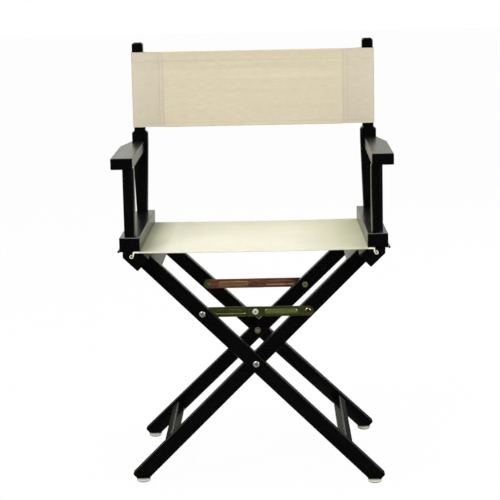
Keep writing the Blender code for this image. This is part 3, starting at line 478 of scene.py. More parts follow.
bright_steel = plating("bright_steel", STEEL, STEEL_DARK, STEEL_WORN, BRIGHT_ROUGH, 0.75)
dull_steel = plating("dull_steel", DULL, DULL_DARK, DULL_WORN, (0.30, 0.46), 0.6)
slot_shade_steel = plating("slot_shade_steel", SLOT_SHADE, SLOT_SHADE_DARK, SLOT_SHADE_WORN, (0.5, 0.7))


def finished(name, mesh, body, slot, *finishes):
    """An object of the chair from its finished mesh, with its sharp edges kept sharp."""
    for finish in finishes:
        mesh.materials.append(finish)
    mesh.set_sharp_from_angle(angle=radians(SHARP))
    made = added(name, mesh)
    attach(made, body)
    return made


def applied(mesh, kind, **settings):
    """The mesh with a modifier applied."""
    bare = added("bare", mesh)
    change = bare.modifiers.new("change", kind)
    for name, value in settings.items():
        setattr(change, name, value)
    seen = bare.evaluated_get(bpy.context.evaluated_depsgraph_get())
    done = bpy.data.meshes.new_from_object(seen)
    bpy.data.objects.remove(bare)
    return done


def slotted_head(name, body, solid, x, z, facing, radius, height, turn, finish):
    """A domed screw head with a cross slot, over a solid's plain head of that radius and height.

    It stands on the solid's front where facing is -1, and on its rear where facing is 1."""
    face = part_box(solid)[0 if facing < 0 else 1][1]
    place = Matrix.Translation((x, face - facing * height, z))
    radius, height = radius + HEAD_ROUND, height + HEAD_COVER
    outline = [(0, 0), (radius - HEAD_EDGE, 0), (radius, HEAD_EDGE)]
    outline += [(radius * out, height * up) for out, up in HEAD_DOME]
    shape = bmesh.new()
    verts = [shape.verts.new((out, 0, up)) for out, up in outline]
    edges = [shape.edges.new(pair) for pair in zip(verts, verts[1:])]
    bmesh.ops.spin(shape, geom=verts + edges, cent=(0, 0, 0), axis=(0, 0, 1), angle=2 * pi,
                   steps=28, use_merge=True)
    bmesh.ops.remove_doubles(shape, verts=shape.verts, dist=1e-6)
    bmesh.ops.recalc_face_normals(shape, faces=shape.faces)
    head = mesh_of(name, shape)
    cross = bmesh.new()
    above = Matrix.Translation((0, 0, height + CUTTER_HEIGHT / 2 - SLOT_DEPTH))
    bar = Matrix.Diagonal((radius * SLOT_LENGTH, radius * SLOT_WIDTH, CUTTER_HEIGHT, 1))
    for quarter in (0, pi / 2):
        verts = bmesh.ops.create_cube(
            cross, size=1, matrix=above @ Matrix.Rotation(quarter, 4, "Z") @ bar)["verts"]
        bmesh.ops.scale(cross, verts=[vert for vert in verts if vert.co.z < height],
                        vec=(SLOT_TAPER, SLOT_TAPER, 1))
    # The cutter's near-black material gives the slot's faces painted shade.
    cutter = added("cutter", mesh_of("cross", cross, smooth=False))
    cutter.data.materials.append(slot_shade_steel)
    head.materials.append(finish)
    cut = applied(head, "BOOLEAN", object=cutter, operation="DIFFERENCE", solver="EXACT",
                  use_self=True, material_mode="TRANSFER")
    bpy.data.objects.remove(cutter)
    cut.transform(place @ Matrix.Rotation(-facing * pi / 2, 4, "X") @ Matrix.Rotation(turn, 4, "Z"))
    return finished(name, cut, body, "nickel")


for end_name, end in ENDS:
    dress([f"pivot_bolt_{end_name}"], bright_steel)
    dress([f"pivot_spacer_{end_name}", f"pivot_nut_{end_name}"], dull_steel)
    slotted_head(f"pivot_head_{end_name}", "outer_legs", f"pivot_bolt_{end_name}", 0, PIVOT_Z, end,
                 BOLT_HEAD_RADIUS, BOLT_HEAD_HEIGHT, turn=0.35, finish=bright_steel)


# ---- Folding stays ------------------------------------------------------------------------------
# Pressed steel strips with a yellow passivated zinc coat, which turns olive or bronze. A long
# shallow channel is pressed into each half; painted highlights make its raised crest lighter and
# its walls and ends gold. A cross-slotted rivet joins the halves in the middle, and a screw holds
# each outer end to its leg.
OLIVE, OLIVE_LIGHT = (0.145, 0.180, 0.044, 1), (0.240, 0.300, 0.078, 1)
BRONZE, BRONZE_LIGHT = (0.270, 0.110, 0.060, 1), (0.560, 0.225, 0.140, 1)
# Painted highlight: a raised crest is lighter where it catches the light.
OLIVE_CREST_HIGHLIGHT, BRONZE_CREST_HIGHLIGHT = (0.56, 0.68, 0.20, 1), (0.56, 0.30, 0.12, 1)
BRONZE_END, BRONZE_END_X = (0.17, 0.20, 0.065, 1), (-0.0985, -0.1015)  # where it turns olive
# Painted gold highlight along the channel's walls and ends.
GOLD_HIGHLIGHT = (0.88, 0.76, 0.38, 1)
RIVET, RIVET_DARK, RIVET_WORN = (0.93, 0.90, 0.78, 1), (0.74, 0.71, 0.58, 1), (0.50, 0.47, 0.36, 1)
BRASS, BRASS_DARK, BRASS_WORN = (0.95, 0.84, 0.48, 1), (0.62, 0.55, 0.26, 1), (0.46, 0.40, 0.20, 1)
PIN_HEAD_RADIUS, PIN_HEAD_HEIGHT = 0.0058, 0.0021
FAR_HEAD_HEIGHT, RIVET_HEAD_HEIGHT = 0.0016, 0.0007
STAY_WIDTH, STAY_SHEET = 0.020, 0.0012
STAY_PAST_PIN, STAY_PAST_RIVET = 0.0115, 0.0165
STAY_CORNER, STAY_CORNER_CUT = 0.003, 0.3     # its length, and the share of the width it takes
STAY_STEP, STAY_ROWS = 0.0009, 24
CHANNEL_FROM_PIN, CHANNEL_FROM_RIVET = 0.021, 0.0185
CHANNEL_HALF, CHANNEL_WALL, CHANNEL_DEPTH = 0.0047, 0.0013, 0.0010
CHANNEL_END = 0.001
# The painted gold highlight's share where it is weakest:
GLINT_WEAKEST = 0.3             # gold on a crest's long walls, and on a hollow's ends
EAR_ROOT, EAR_TIP = (0.0022, 0.0098), (0.0046, 0.0075)   # a small ear's ends, from the rivet
EAR_DEPTH = 0.0038


def passivated(name, light, dark, crest_highlight, metal=(0.88, 0.7), end_colour=None):
    """Zinc with a coloured coat, with a painted highlight on the crest and painted gold glints.

    The coat may turn to another colour at one end."""
    made, tree, shader = new_material(name)
    place = node(tree, "ShaderNodeTexCoord").outputs["Object"]
    used = placed_group(tree, plated, place)
    cloud = between(tree, stretched_noise(tree, place, (0.034, 0.010, 0.010)), 0.36, 0.64)
    colour = blend_colours(tree, cloud, dark, light)
    if end_colour:
        turned = between(tree, parted(tree, place)["X"], *BRONZE_END_X)
        colour = blend_colours(tree, turned, colour, end_colour)
    crest, glint = (node(tree, "ShaderNodeAttribute", attribute_name=label).outputs["Fac"]
                   for label in ("crest", "glint"))
    # Painted highlights: the crest lighter, and gold on the channel's walls and ends.
    colour = blend_colours(tree, crest, colour, crest_highlight)
    worn = maths(tree, "MULTIPLY", glint, between(tree, used["Bloom"], 0, 1, 0.45, 1.0))
    colour = blend_colours(tree, worn, colour, GOLD_HIGHLIGHT)
    wire(tree, shader, Base_Color=colour,
         Roughness=between(tree, used["Brush"], 0.3, 0.7, 0.20, 0.30),
         Metallic=between(tree, used["Wear"], 0, 1, *metal),
         Normal=bumped(tree, used["Brush"], 0.08, 0.00002))
    return made


olive_zinc = passivated("olive_zinc", OLIVE_LIGHT, OLIVE, OLIVE_CREST_HIGHLIGHT)
bronze_zinc = passivated("bronze_zinc", BRONZE_LIGHT, BRONZE, BRONZE_CREST_HIGHLIGHT, (0.62, 0.5), BRONZE_END)
rivet_steel = plating("rivet_steel", RIVET, RIVET_DARK, RIVET_WORN, (0.3, 0.4), 0.4)
brass_steel = plating("brass_steel", BRASS, BRASS_DARK, BRASS_WORN, BRIGHT_ROUGH)


def pressed_stay(name, body, pin, rivet, plane, bulge, finish, ear, crested):
    """One half of a stay from its pin to its rivet, both (x, z), pressed out by bulge along Y."""
    along = Vector((rivet[0] - pin[0], rivet[1] - pin[1]))
    reach = along.length
    along.normalize()
    side = Vector((-along.y, along.x)) * (1 if along.x > 0 else -1)
    length, half = reach + STAY_PAST_PIN + STAY_PAST_RIVET, STAY_WIDTH / 2
    low, high = CHANNEL_FROM_PIN + CHANNEL_HALF, reach - CHANNEL_FROM_RIVET - CHANNEL_HALF
    shape = bmesh.new()
    bmesh.ops.create_grid(shape, x_segments=round(length / STAY_STEP), y_segments=STAY_ROWS,
                          size=0.5, matrix=Matrix.Diagonal((length, STAY_WIDTH, 1, 1)))
    glint, crest = (shape.verts.layers.float.new(label) for label in ("glint", "crest"))
    for vert in shape.verts:
        s, t = vert.co.x + length / 2 - STAY_PAST_PIN, vert.co.y
        if s < half - STAY_PAST_PIN:        # the round end behind the pin
            out = half - STAY_PAST_PIN - s
            t *= max(0.0, 1 - (out / half) ** 2) ** 0.5
        past = s - (reach + STAY_PAST_RIVET - STAY_CORNER)
        if past > 0:                        # the softly cornered end past the rivet
            t *= 1 - STAY_CORNER_CUT * (1 - max(0.0, 1 - (past / STAY_CORNER) ** 2) ** 0.5)
        beyond = s - min(max(s, low), high)
        gap = hypot(beyond, t)
        rise = min(1.0, max(0.0, (CHANNEL_HALF - gap) / CHANNEL_WALL))
        lift = CHANNEL_DEPTH * rise * rise * (3 - 2 * rise)
        wall = max(0.0, 1 - abs(CHANNEL_HALF - CHANNEL_WALL / 2 - gap) / CHANNEL_WALL)
        at_end = min(1.0, abs(beyond) / CHANNEL_END)
        # Painted gold highlight on the channel's walls, fullest at a crest's ends and a hollow's
        # long walls.
        vert[glint] = wall * (GLINT_WEAKEST + (1 - GLINT_WEAKEST) * (at_end if crested else 1 - at_end))
        vert[crest] = rise if crested else 0.0
        here = s - reach
        if ear and vert.co.y < -half + 1e-6 and EAR_ROOT[0] < here < EAR_ROOT[1]:
            t -= EAR_DEPTH * max(0.0, min(1.0, (here - EAR_ROOT[0]) / (EAR_TIP[0] - EAR_ROOT[0]),
                                          (EAR_ROOT[1] - here) / (EAR_ROOT[1] - EAR_TIP[1])))
        x, z = Vector(pin) + along * s + side * t
        vert.co = (x, plane + bulge * lift, z)
    bmesh.ops.recalc_face_normals(shape, faces=shape.faces)
    strip = applied(mesh_of(name, shape), "SOLIDIFY", thickness=STAY_SHEET, offset=0.0,
                    use_even_offset=True)
    return finished(name, strip, body, "stay_steel", finish)


for end_name, end in ENDS:
    front = end < 0
    for side, sign in SIDES:
        half_name = f"stay_half_{side}_{end_name}"
        low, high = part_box(half_name)
        rest_z = high[2] - STAY_WIDTH / 2
        outer_x = (low[0] if sign < 0 else high[0]) - sign * STAY_PAST_PIN
        bulge = end * sign                  # the right half is pressed outwards, the left inwards
        plane = (low if bulge > 0 else high)[1] + bulge * STAY_SHEET / 2
        stay = pressed_stay(f"stay_strip_{side}_{end_name}", f"stay_{side}_{end_name}",
                            (outer_x, rest_z), (0, rest_z), plane, bulge,
                            olive_zinc if front else bronze_zinc,
                            ear=front and side == "left", crested=bulge < 0)
        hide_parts(half_name)
        pin, rivet = f"stay_pin_{side}_{end_name}", f"stay_rivet_{side}_{end_name}"
        dress([rivet], bright_steel if front else bronze_zinc)
        pin_finish = (bright_steel if sign < 0 else brass_steel) if front else dull_steel
        dress([pin], pin_finish)
        leg_body = "outer_legs" if sign < 0 else "inner_legs"
        slotted_head(f"stay_screw_{side}_{end_name}", leg_body, pin, outer_x, rest_z, end,
                     PIN_HEAD_RADIUS, PIN_HEAD_HEIGHT, turn=0.2 + sign * 0.5, finish=pin_finish)
        if sign > 0:
            slotted_head(f"stay_far_screw_{end_name}", leg_body, pin, outer_x, rest_z, -end,
                         PIN_HEAD_RADIUS, FAR_HEAD_HEIGHT, turn=0.9, finish=dull_steel)
            slotted_head(f"stay_middle_screw_{end_name}", f"stay_right_{end_name}", rivet, 0,
                         rest_z, end, PIN_HEAD_RADIUS, RIVET_HEAD_HEIGHT, turn=0.6,
                         finish=rivet_steel if front else bronze_zinc)


# ---- Seat canvas --------------------------------------------------------------------------------
# One flat cut of heavy cotton canvas. Each side edge drops through a slot in its top rail and is
# sewn into a loop round the dowel. Front and rear edges are turned under and sewn.
CLOTH = 0.0013
SEAT_WHITE, SEAT_SHADE = (0.865, 0.845, 0.705, 1), (0.735, 0.710, 0.560, 1)
EDGE_WHITE, EDGE_SHADE = (0.95, 0.93, 0.80, 1), (0.86, 0.84, 0.70, 1)
SEAT_THREAD, SEAT_THREAD_SHADE = (0.86, 0.83, 0.68, 1), (0.76, 0.72, 0.56, 1)
SEAT_SPLIT_X = 0.2225        # where the loose edge pieces begin, hidden under the rails
SEAT_SAG, SEAT_RIPPLE = 0.0013, 0.00035
SEAT_LOOP = 0.00315          # loop's radius to the middle of the cloth
SEAT_BEND = 0.0013
DOWEL_X, DOWEL_Z = 0.2375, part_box("seat_dowel_inner")[0][2] + 0.0022
SEAT_HEM, SEAT_SEAM = 0.014, 0.0115      # the hem's depth, and its row of stitches from the edge
EDGE_HEM = 0.0025
SEAT_PROUD = 0.0035          # how far its hems stand out in front of the top rails' slots
SEAT_HEM_END_X = 0.2160      # outside this the seat lies on its top rails
HEM_GAP = 0.0015             # between the middles of a hem's two layers
HEM_FLAT, HEM_EASE = 0.12, 0.0015    # its share where it lies on a top rail, and how soon
SEAT_STEPS, EDGE_STEPS = (0.002, 0.004, 0.003), (0.0007, 0.008)  # their grids' spacing
NECK_EASE = 0.003
STITCH, STITCH_PITCH, THREAD = 0.0024, 0.0032, 0.0006
THREAD_PITCH = 0.0008
SLUB_GRAIN = (0.020, THREAD_PITCH * 1.1)      # how long and wide the yarn's streaks are
# The first tone darkens the gaps between threads as painted shade; the second is soil from
# handling.
GAP_SHADE_TONE, HANDLED_TONE = (0.55, 0.55, 0.55, 1), (0.8, 0.8, 0.8, 1)
# Tones of the painted shade, and of the deeper painted shadow that the left side frame casts.
SHADOW_TONE, DEEP_SHADOW_TONE = (0.60, 0.62, 0.44, 1), (0.20, 0.24, 0.15, 1)
HANDLED = (0.12, 0.09, 1)
# The deep painted shadow at the left leaves the front hem's fold light between these measures.
FOLD_Y = (-0.2080, -0.2030)  # the front hem's fold, which the dark at the left leaves light
CLOTH_SHARP = 50
ACROSS, FORWARD, UP = Vector((1, 0, 0)), Vector((0, -1, 0)), Vector((0, 0, 1))

# A plain weave on a flat cut measured in metres. Height is the crowns of whichever threads are on
# top, and Slub is the streaky thick and thin of the yarn.
weave, start, end = group("plain_weave", "Height", "Slub", Threads=1 / THREAD_PITCH)
cut = start.outputs["Vector"]
counted = node(weave, "ShaderNodeVectorMath", [(0, cut), ("Scale", start.outputs["Threads"])],
               operation="SCALE")
split = parted(weave, counted.outputs[0])
crowns, cells = [], []
for axis in "XY":
    cells.append(maths(weave, "FLOOR", split[axis]))
    wave = maths(weave, "SINE", maths(weave, "MULTIPLY", split[axis], pi))
    crowns.append(maths(weave, "ABSOLUTE", wave))
odd = maths(weave, "FLOORED_MODULO", maths(weave, "ADD", *cells), 2)
top = node(weave, "ShaderNodeMix", [(0, odd), (2, crowns[1]), (3, crowns[0])], data_type="FLOAT")
across = stretched_noise(weave, cut, (*SLUB_GRAIN, 1))
down = stretched_noise(weave, cut, (*SLUB_GRAIN[::-1], 1))
slub = node(weave, "ShaderNodeMix", [(2, across), (3, down)], data_type="FLOAT", Factor=0.18)
wire(weave, end, Height=top.outputs[0], Slub=between(weave, slub.outputs[0], 0.34, 0.66))


def toned(colour, tone):
    return [value * gain for value, gain in zip(colour, tone)]


def cotton(name, light, shade, measured=True, shade_along=None, rail_shade=None, right=None, left=None):
    """Cotton, woven on the cloth's own flat cut, or as sewing thread where it isn't measured.

    The four shade arguments, in order, give painted shade between two lengthwise measures, towards
    both sides and towards the right one, and a deeper painted shadow towards the left; each is two
    measures and a share."""
    made, tree, shader = new_material(name)
    cut = node(tree, "ShaderNodeUVMap", uv_map="cut").outputs[0] if measured \
        else node(tree, "ShaderNodeTexCoord").outputs["Object"]
    threads = placed_group(tree, weave, cut)
    colour = blend_colours(tree, threads["Slub"], shade, light)
    # Painted shade in the gaps between the threads.
    gap_shade = between(tree, threads["Height"], 0.0, 0.45, 0.22, 0.0)
    colour = blend_colours(tree, gap_shade, colour, toned(shade, GAP_SHADE_TONE))
    handled = between(tree, stretched_noise(tree, cut, HANDLED, 3.0), 0.35, 0.75, 0.0, 0.10)
    colour = blend_colours(tree, handled, colour, toned(shade, HANDLED_TONE))
    measures = parted(tree, cut)
    sideways = maths(tree, "ABSOLUTE", measures["X"])
    # Painted shade and shadow, each darkening between two measures up to its share.
    for measure, span, tone in ((measures["Y"], shade_along, SHADOW_TONE),
                                (sideways, rail_shade, SHADOW_TONE),
                                (measures["X"], right, SHADOW_TONE),
                                (measures["X"], left, DEEP_SHADOW_TONE)):
        if span:
            share = between(tree, measure, *span[:2], 0.0, span[2])
            if span is left:
                share = maths(tree, "MULTIPLY", share, between(tree, measures["Y"], *FOLD_Y))
            colour = blend_colours(tree, share, colour, toned(shade, tone))
    shader.inputs["Specular IOR Level"].default_value = 0.2
    shader.inputs["Sheen Weight"].default_value = 0.12
    shader.inputs["Sheen Roughness"].default_value = 0.5
    relief = maths(tree, "ADD", threads["Height"], threads["Slub"])
    wire(tree, shader, Base_Color=colour, Roughness=between(tree, threads["Slub"], 0, 1, 0.9, 0.82),
         Normal=bumped(tree, relief, 0.45, 0.00012))
    return made


def arc(centre, radius, first, last, steps):
    """Points on an arc, angles in degrees."""
    turns = [radians(first + (last - first) * i / steps) for i in range(steps + 1)]
    return [(centre[0] + radius * cos(t), centre[1] + radius * sin(t)) for t in turns]


def follow(path, distance):
    """The point that far along a path of points."""
    for (ax, ay), (bx, by) in zip(path, path[1:]):
        length = hypot(bx - ax, by - ay)
        if distance <= length or (bx, by) == path[-1]:
            share = distance / length if length else 0.0
            return ax + (bx - ax) * share, ay + (by - ay) * share
        distance -= length


def path_length(path):
    return sum(hypot(b[0] - a[0], b[1] - a[1]) for a, b in zip(path, path[1:]))


def evenly(first, last, step):
    """Places from first to last, about a step apart."""
    count = max(1, round(abs(last - first) / step))
    return [first + (last - first) * i / count for i in range(count + 1)]


def hemmed(half, hems, gap, step):
    """Rows from one turned-in hem to the other.

    Each has its measure on the flat cut, its place across, and its depth behind the face."""
    bend = gap / 2
    edge = half - bend
    rows = [(place, place, 0.0) for place in evenly(-edge, edge, step)]
    for sign, hem in zip((-1, 1), hems):
        turn = [(edge + bend * a, edge + bend * sin(a), bend - bend * cos(a))
                for a in evenly(0, pi, pi / 6)[1:]]
        places = evenly(0, 0.001, 0.0005)[1:] + evenly(0.001, hem - bend, step)[1:]
        under = [(edge + pi * bend + s, edge - s, gap) for s in places]
        side = [(sign * flat, sign * across, depth) for flat, across, depth in turn + under]
        rows = rows + side if sign > 0 else side[::-1] + rows
    return rows


def cloth_piece(name, columns, rows, settle, finish):
    """A flat cut laid out as a grid with its own flat measure, settled, then given its thickness.

    Each column and row starts with its measure on the flat cut."""
    shape = bmesh.new()
    across, along = len(columns) - 1, len(rows) - 1
    bmesh.ops.create_grid(shape, x_segments=across, y_segments=along, size=0.5)
    spots = {vert: (columns[round((vert.co.x + 0.5) * across)],
                    rows[round((vert.co.y + 0.5) * along)]) for vert in shape.verts}
    cut = shape.loops.layers.uv.new("cut")
    for face in shape.faces:
        for corner in face.loops:
            corner[cut].uv = [spot[0] if isinstance(spot, tuple) else spot
                              for spot in spots[corner.vert]]
    for vert, (column, row) in spots.items():
        vert.co = settle(column, row)
    bmesh.ops.recalc_face_normals(shape, faces=shape.faces)
    mesh = applied(mesh_of(name, shape), "SOLIDIFY", thickness=CLOTH, offset=0.0)
    mesh.materials.append(finish)
    mesh.set_sharp_from_angle(angle=radians(CLOTH_SHARP))
    return added(name, mesh)


def sewn(name, stitches, finish):
    """Stitches, each given as (place, direction, up): its middle, its run and the way it faces."""
    one = bmesh.new()
    bmesh.ops.create_uvsphere(one, u_segments=6, v_segments=4, radius=1,
                              matrix=Matrix.Diagonal((STITCH / 2, THREAD / 2, THREAD / 2, 1)))
    stitch = mesh_of("stitch", one)
    shape = bmesh.new()
    for place, direction, up in stitches:
        turn = Matrix((direction, up.cross(direction), up)).transposed().to_4x4()
        there = Matrix.Translation(place) @ turn
        stitch.transform(there)
        shape.from_mesh(stitch)
        stitch.transform(there.inverted())
    mesh = mesh_of(name, shape)
    mesh.materials.append(finish)
    return added(name, mesh)


seat_low, seat_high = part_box("seat_canvas")
SEAT_Z = seat_high[2] - CLOTH / 2
SEAT_HALF_Y = (seat_high[1] - seat_low[1]) / 2 + SEAT_PROUD
RAIL_FACE_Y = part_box("top_rail_inner")[1][1]
# Painted shade towards the rear, both rails and the right end, and a deep painted shadow at the
# left.
seat_cotton = cotton("seat_cotton", SEAT_WHITE, SEAT_SHADE, shade_along=(-0.06, 0.2, 0.40),
                     rail_shade=(0.160, 0.222, 0.38), right=(0.075, 0.175, 0.46),
                     left=(-0.168, -0.222, 0.80))


def seat_dip(x, y):
    """How far the seat hangs below its edges, with faint ripples across it."""
    hang = SEAT_SAG * max(0.0, 1 - (x / SEAT_SPLIT_X) ** 2)
    wave = noise.noise(Vector((x * 5, y * 34, 3.1)))
    return hang + SEAT_RIPPLE * wave * max(0.0, 1 - (x / SEAT_SPLIT_X) ** 4)


def proud(y):
    """Whether the seat's hem there is in front of the top rails, and so has its full depth."""
    return abs(y) > RAIL_FACE_Y + 0.0001


def hem_room(x, y):
    """A hem's share of its full depth, which eases off towards the top rails."""
    return 1.0 if proud(y) else min(1.0, max(HEM_FLAT, (SEAT_HEM_END_X - abs(x)) / HEM_EASE))


def lay_seat(x, row):
    _, y, depth = row
    return Vector((x, y, SEAT_Z - seat_dip(x, y) - depth * hem_room(x, y)))


seat_columns = evenly(-SEAT_SPLIT_X, -SEAT_HEM_END_X, SEAT_STEPS[0])[:-1]
seat_columns += evenly(-SEAT_HEM_END_X, SEAT_HEM_END_X, SEAT_STEPS[1])
seat_columns += evenly(SEAT_HEM_END_X, SEAT_SPLIT_X, SEAT_STEPS[0])[1:]
seat_rows = hemmed(SEAT_HALF_Y, (SEAT_HEM, SEAT_HEM), HEM_GAP, SEAT_STEPS[2])
seat_middle = cloth_piece("seat_canvas_middle", seat_columns, seat_rows, lay_seat, seat_cotton)
seat_stitches = [(Vector((x, y, SEAT_Z - seat_dip(x, y) + level)), ACROSS, UP)
                 for y in (SEAT_SEAM - SEAT_HALF_Y, SEAT_HALF_Y - SEAT_SEAM)
                 for level in (CLOTH / 2, -HEM_GAP - CLOTH / 2)
                 for x in evenly(-SEAT_HEM_END_X + 0.003, SEAT_HEM_END_X - 0.003, STITCH_PITCH)]
seat_thread = cotton("seat_thread", SEAT_THREAD, SEAT_THREAD_SHADE, measured=False)
seat_seams = sewn("seat_seams", seat_stitches, seat_thread)
for piece in (seat_middle, seat_seams):
    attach(piece, "left_side")
    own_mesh(piece)

seat_drop_x = DOWEL_X - SEAT_LOOP
seat_edge = [(SEAT_SPLIT_X, SEAT_Z)]
seat_edge += arc((seat_drop_x - SEAT_BEND, SEAT_Z - SEAT_BEND), SEAT_BEND, 90, 0, 5)
seat_edge += arc((DOWEL_X, DOWEL_Z), SEAT_LOOP, 180, 470, 26)
seat_edge_length = path_length(seat_edge)
neck_end = seat_drop_x - SEAT_SPLIT_X + SEAT_Z - DOWEL_Z    # the cloth is doubled down to its loop
edge_rows = hemmed(SEAT_HALF_Y, (EDGE_HEM, EDGE_HEM), HEM_GAP, EDGE_STEPS[1])
edge_cotton = cotton("edge_cotton", EDGE_WHITE, EDGE_SHADE)
for side, sign in SIDES:
    leg_body, dowel = ("outer_legs", "seat_dowel_outer") if sign < 0 \
        else ("inner_legs", "seat_dowel_inner")

    def lay_edge(distance, row):
        _, y, depth = row
        out, up = follow(seat_edge, distance)
        ahead, behind = (follow(seat_edge, place)
                         for place in (distance + 0.0002, max(0.0, distance - 0.0002)))
        run = Vector((ahead[0] - behind[0], ahead[1] - behind[1])).normalized()
        doubled = min(1.0, max(0.0, (neck_end - distance) / NECK_EASE))
        share = (1.0 if proud(y) else HEM_FLAT) * doubled
        return Vector((sign * (out + run.y * depth * share), y, up - run.x * depth * share))

    edge = cloth_piece(f"seat_canvas_edge_{side}", evenly(0, seat_edge_length, EDGE_STEPS[0]),
                       edge_rows, lay_edge, edge_cotton)
    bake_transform(edge)
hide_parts("seat_canvas")


# ---- Back canvas --------------------------------------------------------------------------------
# One band of the same canvas, a little yellower; its sleeves take a darker copy of it as painted
# shade. It runs in front of both sticks, and each end is folded round its stick and sewn down with
# two rows, so that the sleeve slides off upwards.
BACK_CREAM, BACK_SHADE = (0.785, 0.711, 0.541, 1), (0.690, 0.614, 0.448, 1)
# The sleeves' darker copy of the canvas is painted shade.
SLEEVE_SHADED_CREAM, SLEEVE_SHADE = (0.735, 0.668, 0.530, 1), (0.645, 0.578, 0.440, 1)
BACK_THREAD, BACK_THREAD_SHADE = (0.48, 0.38, 0.25, 1), (0.38, 0.29, 0.18, 1)
BACK_SPLIT_X = 0.1905
SLEEVE_SEAMS = (0.058, 0.066)             # the sleeve's two rows of stitches, from its folded edge
SLEEVE_HEM = 0.0682
SLEEVE_BEND = 0.0039
STICK_INNER_X = 0.23425
BOTTOM_HEM, TOP_HEM = 0.0085, 0.0225
BOTTOM_SEAM, TOP_SEAM = 0.0070, 0.0210    # their rows of stitches, from the edges
BACK_RIPPLE, PUCKER, DENT = 0.00055, 0.00045, 0.0013    # two heights, and a dent's half width
SLEEVE_FADE = 0.03           # over this length the ripples die out towards the sleeve's turn
BACK_STEPS = (0.004, 0.0012)
SLEEVE_STEPS, SLEEVE_FINE = (0.0006, 0.0013, 0.0016), 0.016    # finer over this length at its seams

back_low, back_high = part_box("back_canvas")
BACK_EDGE_X = back_high[0]
BACK_Z, BACK_HALF_Z = (back_high[2] + back_low[2]) / 2, (back_high[2] - back_low[2]) / 2
FRONT_Y, REAR_Y = back_low[1] + CLOTH / 2, back_high[1] - CLOTH / 2
SEAM_Z = (back_low[2] + BOTTOM_SEAM, back_high[2] - TOP_SEAM)
# Painted shade: both canvases darken towards the top.
back_cotton = cotton("back_cotton", BACK_CREAM, BACK_SHADE, shade_along=(0.035, 0.075, 0.16))
shaded_sleeve_cotton = cotton("shaded_sleeve_cotton", SLEEVE_SHADED_CREAM, SLEEVE_SHADE, shade_along=(0.035, 0.075, 0.08))
back_thread = cotton("back_thread", BACK_THREAD, BACK_THREAD_SHADE, measured=False)


def back_ripple(x, z):
    """How far the front stands out: ripples from seam to seam, and dents along the stitches."""
    near_top = max(0.0, (z - BACK_Z) / BACK_HALF_Z)
    waves = noise.noise(Vector((x * 3.2, 7.7, z * 46)))
    waves += 0.6 * noise.noise(Vector((x * 8, 2.2, z * 90)))
    dents = 0.5 * sum(exp(-((z - seam) / DENT) ** 2) for seam in SEAM_Z)
    dents += sum(exp(-((BACK_EDGE_X - seam - abs(x)) / DENT) ** 2) for seam in SLEEVE_SEAMS)
    out = BACK_RIPPLE * waves * (0.7 + 0.5 * near_top) + PUCKER * (1 - min(1.0, dents))
    return max(-0.0001, out)


def lay_back(x, row):
    _, z, depth = row
    stand = back_ripple(x, BACK_Z + z) * (1 - depth / HEM_GAP)
    return Vector((x, FRONT_Y - stand + depth, BACK_Z + z))


back_rows = hemmed(BACK_HALF_Z, (BOTTOM_HEM, TOP_HEM), HEM_GAP, BACK_STEPS[1])
back_middle = cloth_piece("back_canvas_middle",
                          evenly(-BACK_SPLIT_X, BACK_SPLIT_X, BACK_STEPS[0]),
                          back_rows, lay_back, back_cotton)
back_stitches = [(Vector((x, y, z)), ACROSS, FORWARD)
                 for z in SEAM_Z
                 for x in evenly(-BACK_SPLIT_X + 0.002, BACK_SPLIT_X - 0.002, STITCH_PITCH)
                 for y in (FRONT_Y - back_ripple(x, z) - CLOTH / 2, FRONT_Y + HEM_GAP + CLOTH / 2)]
back_seams = sewn("back_seams", back_stitches, back_thread)
for piece in (back_middle, back_seams):
    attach(piece, "left_side")
    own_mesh(piece)
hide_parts("back_canvas")

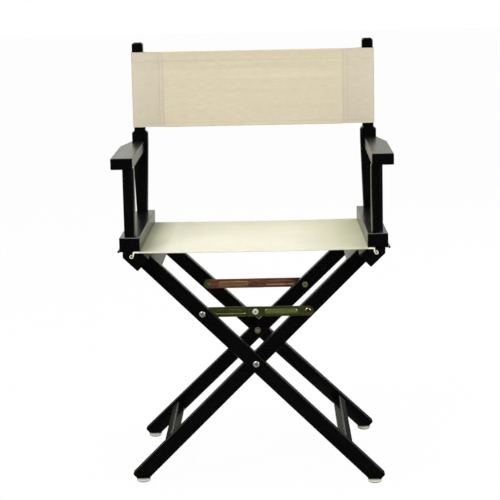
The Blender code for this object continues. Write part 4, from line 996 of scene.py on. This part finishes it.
sleeve_turn_x = BACK_EDGE_X - CLOTH / 2 - SLEEVE_BEND
closing_y = FRONT_Y + CLOTH + 0.0003
sleeve_front = [(BACK_SPLIT_X, FRONT_Y), (sleeve_turn_x, FRONT_Y)]
sleeve = sleeve_front + arc((sleeve_turn_x, FRONT_Y + SLEEVE_BEND), SLEEVE_BEND, 270, 360, 6)[1:]
sleeve += arc((sleeve_turn_x, REAR_Y - SLEEVE_BEND), SLEEVE_BEND, 0, 90, 6)
sleeve += [(STICK_INNER_X - CLOTH, REAR_Y), (BACK_EDGE_X - SLEEVE_SEAMS[0] + 0.0005, closing_y),
           (BACK_EDGE_X - SLEEVE_HEM, closing_y)]
sleeve_length = path_length(sleeve)
front_length = path_length(sleeve_front)
sleeve_columns = evenly(0, SLEEVE_FINE, SLEEVE_STEPS[0])
sleeve_columns += evenly(SLEEVE_FINE, sleeve_length, SLEEVE_STEPS[1])[1:]
sleeve_rows = evenly(-BACK_HALF_Z, BACK_HALF_Z, SLEEVE_STEPS[2])
for side, sign in SIDES:

    def lay_sleeve(distance, z):
        out, y = follow(sleeve, distance)
        if distance < front_length:
            fade = min(1.0, (front_length - distance) / SLEEVE_FADE)
            y -= back_ripple(sign * out, BACK_Z + z) * fade
        return Vector((sign * out, y, BACK_Z + z))

    # Painted shade: the sleeve takes the darker copy of the canvas.
    cover = cloth_piece(f"back_sleeve_{side}", sleeve_columns, sleeve_rows, lay_sleeve,
                        shaded_sleeve_cotton)
    stitches = []
    for seam in SLEEVE_SEAMS:
        out = BACK_EDGE_X - seam
        for z in evenly(0.002 - BACK_HALF_Z, BACK_HALF_Z - 0.002, STITCH_PITCH):
            front = FRONT_Y - back_ripple(sign * out, BACK_Z + z) - CLOTH / 2
            stitches += [(Vector((sign * out, y, BACK_Z + z)), UP, FORWARD)
                         for y in (front, closing_y + CLOTH / 2)]
    for z in SEAM_Z:
        for x in evenly(BACK_SPLIT_X + 0.001, sleeve_turn_x, STITCH_PITCH):
            y = lay_sleeve(x - BACK_SPLIT_X, z - BACK_Z).y - CLOTH / 2
            stitches.append((Vector((sign * x, y, z)), ACROSS, FORWARD))
    seams = sewn(f"sleeve_seams_{side}", stitches, back_thread)
    for piece in (cover, seams):
        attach(piece, f"{side}_side")
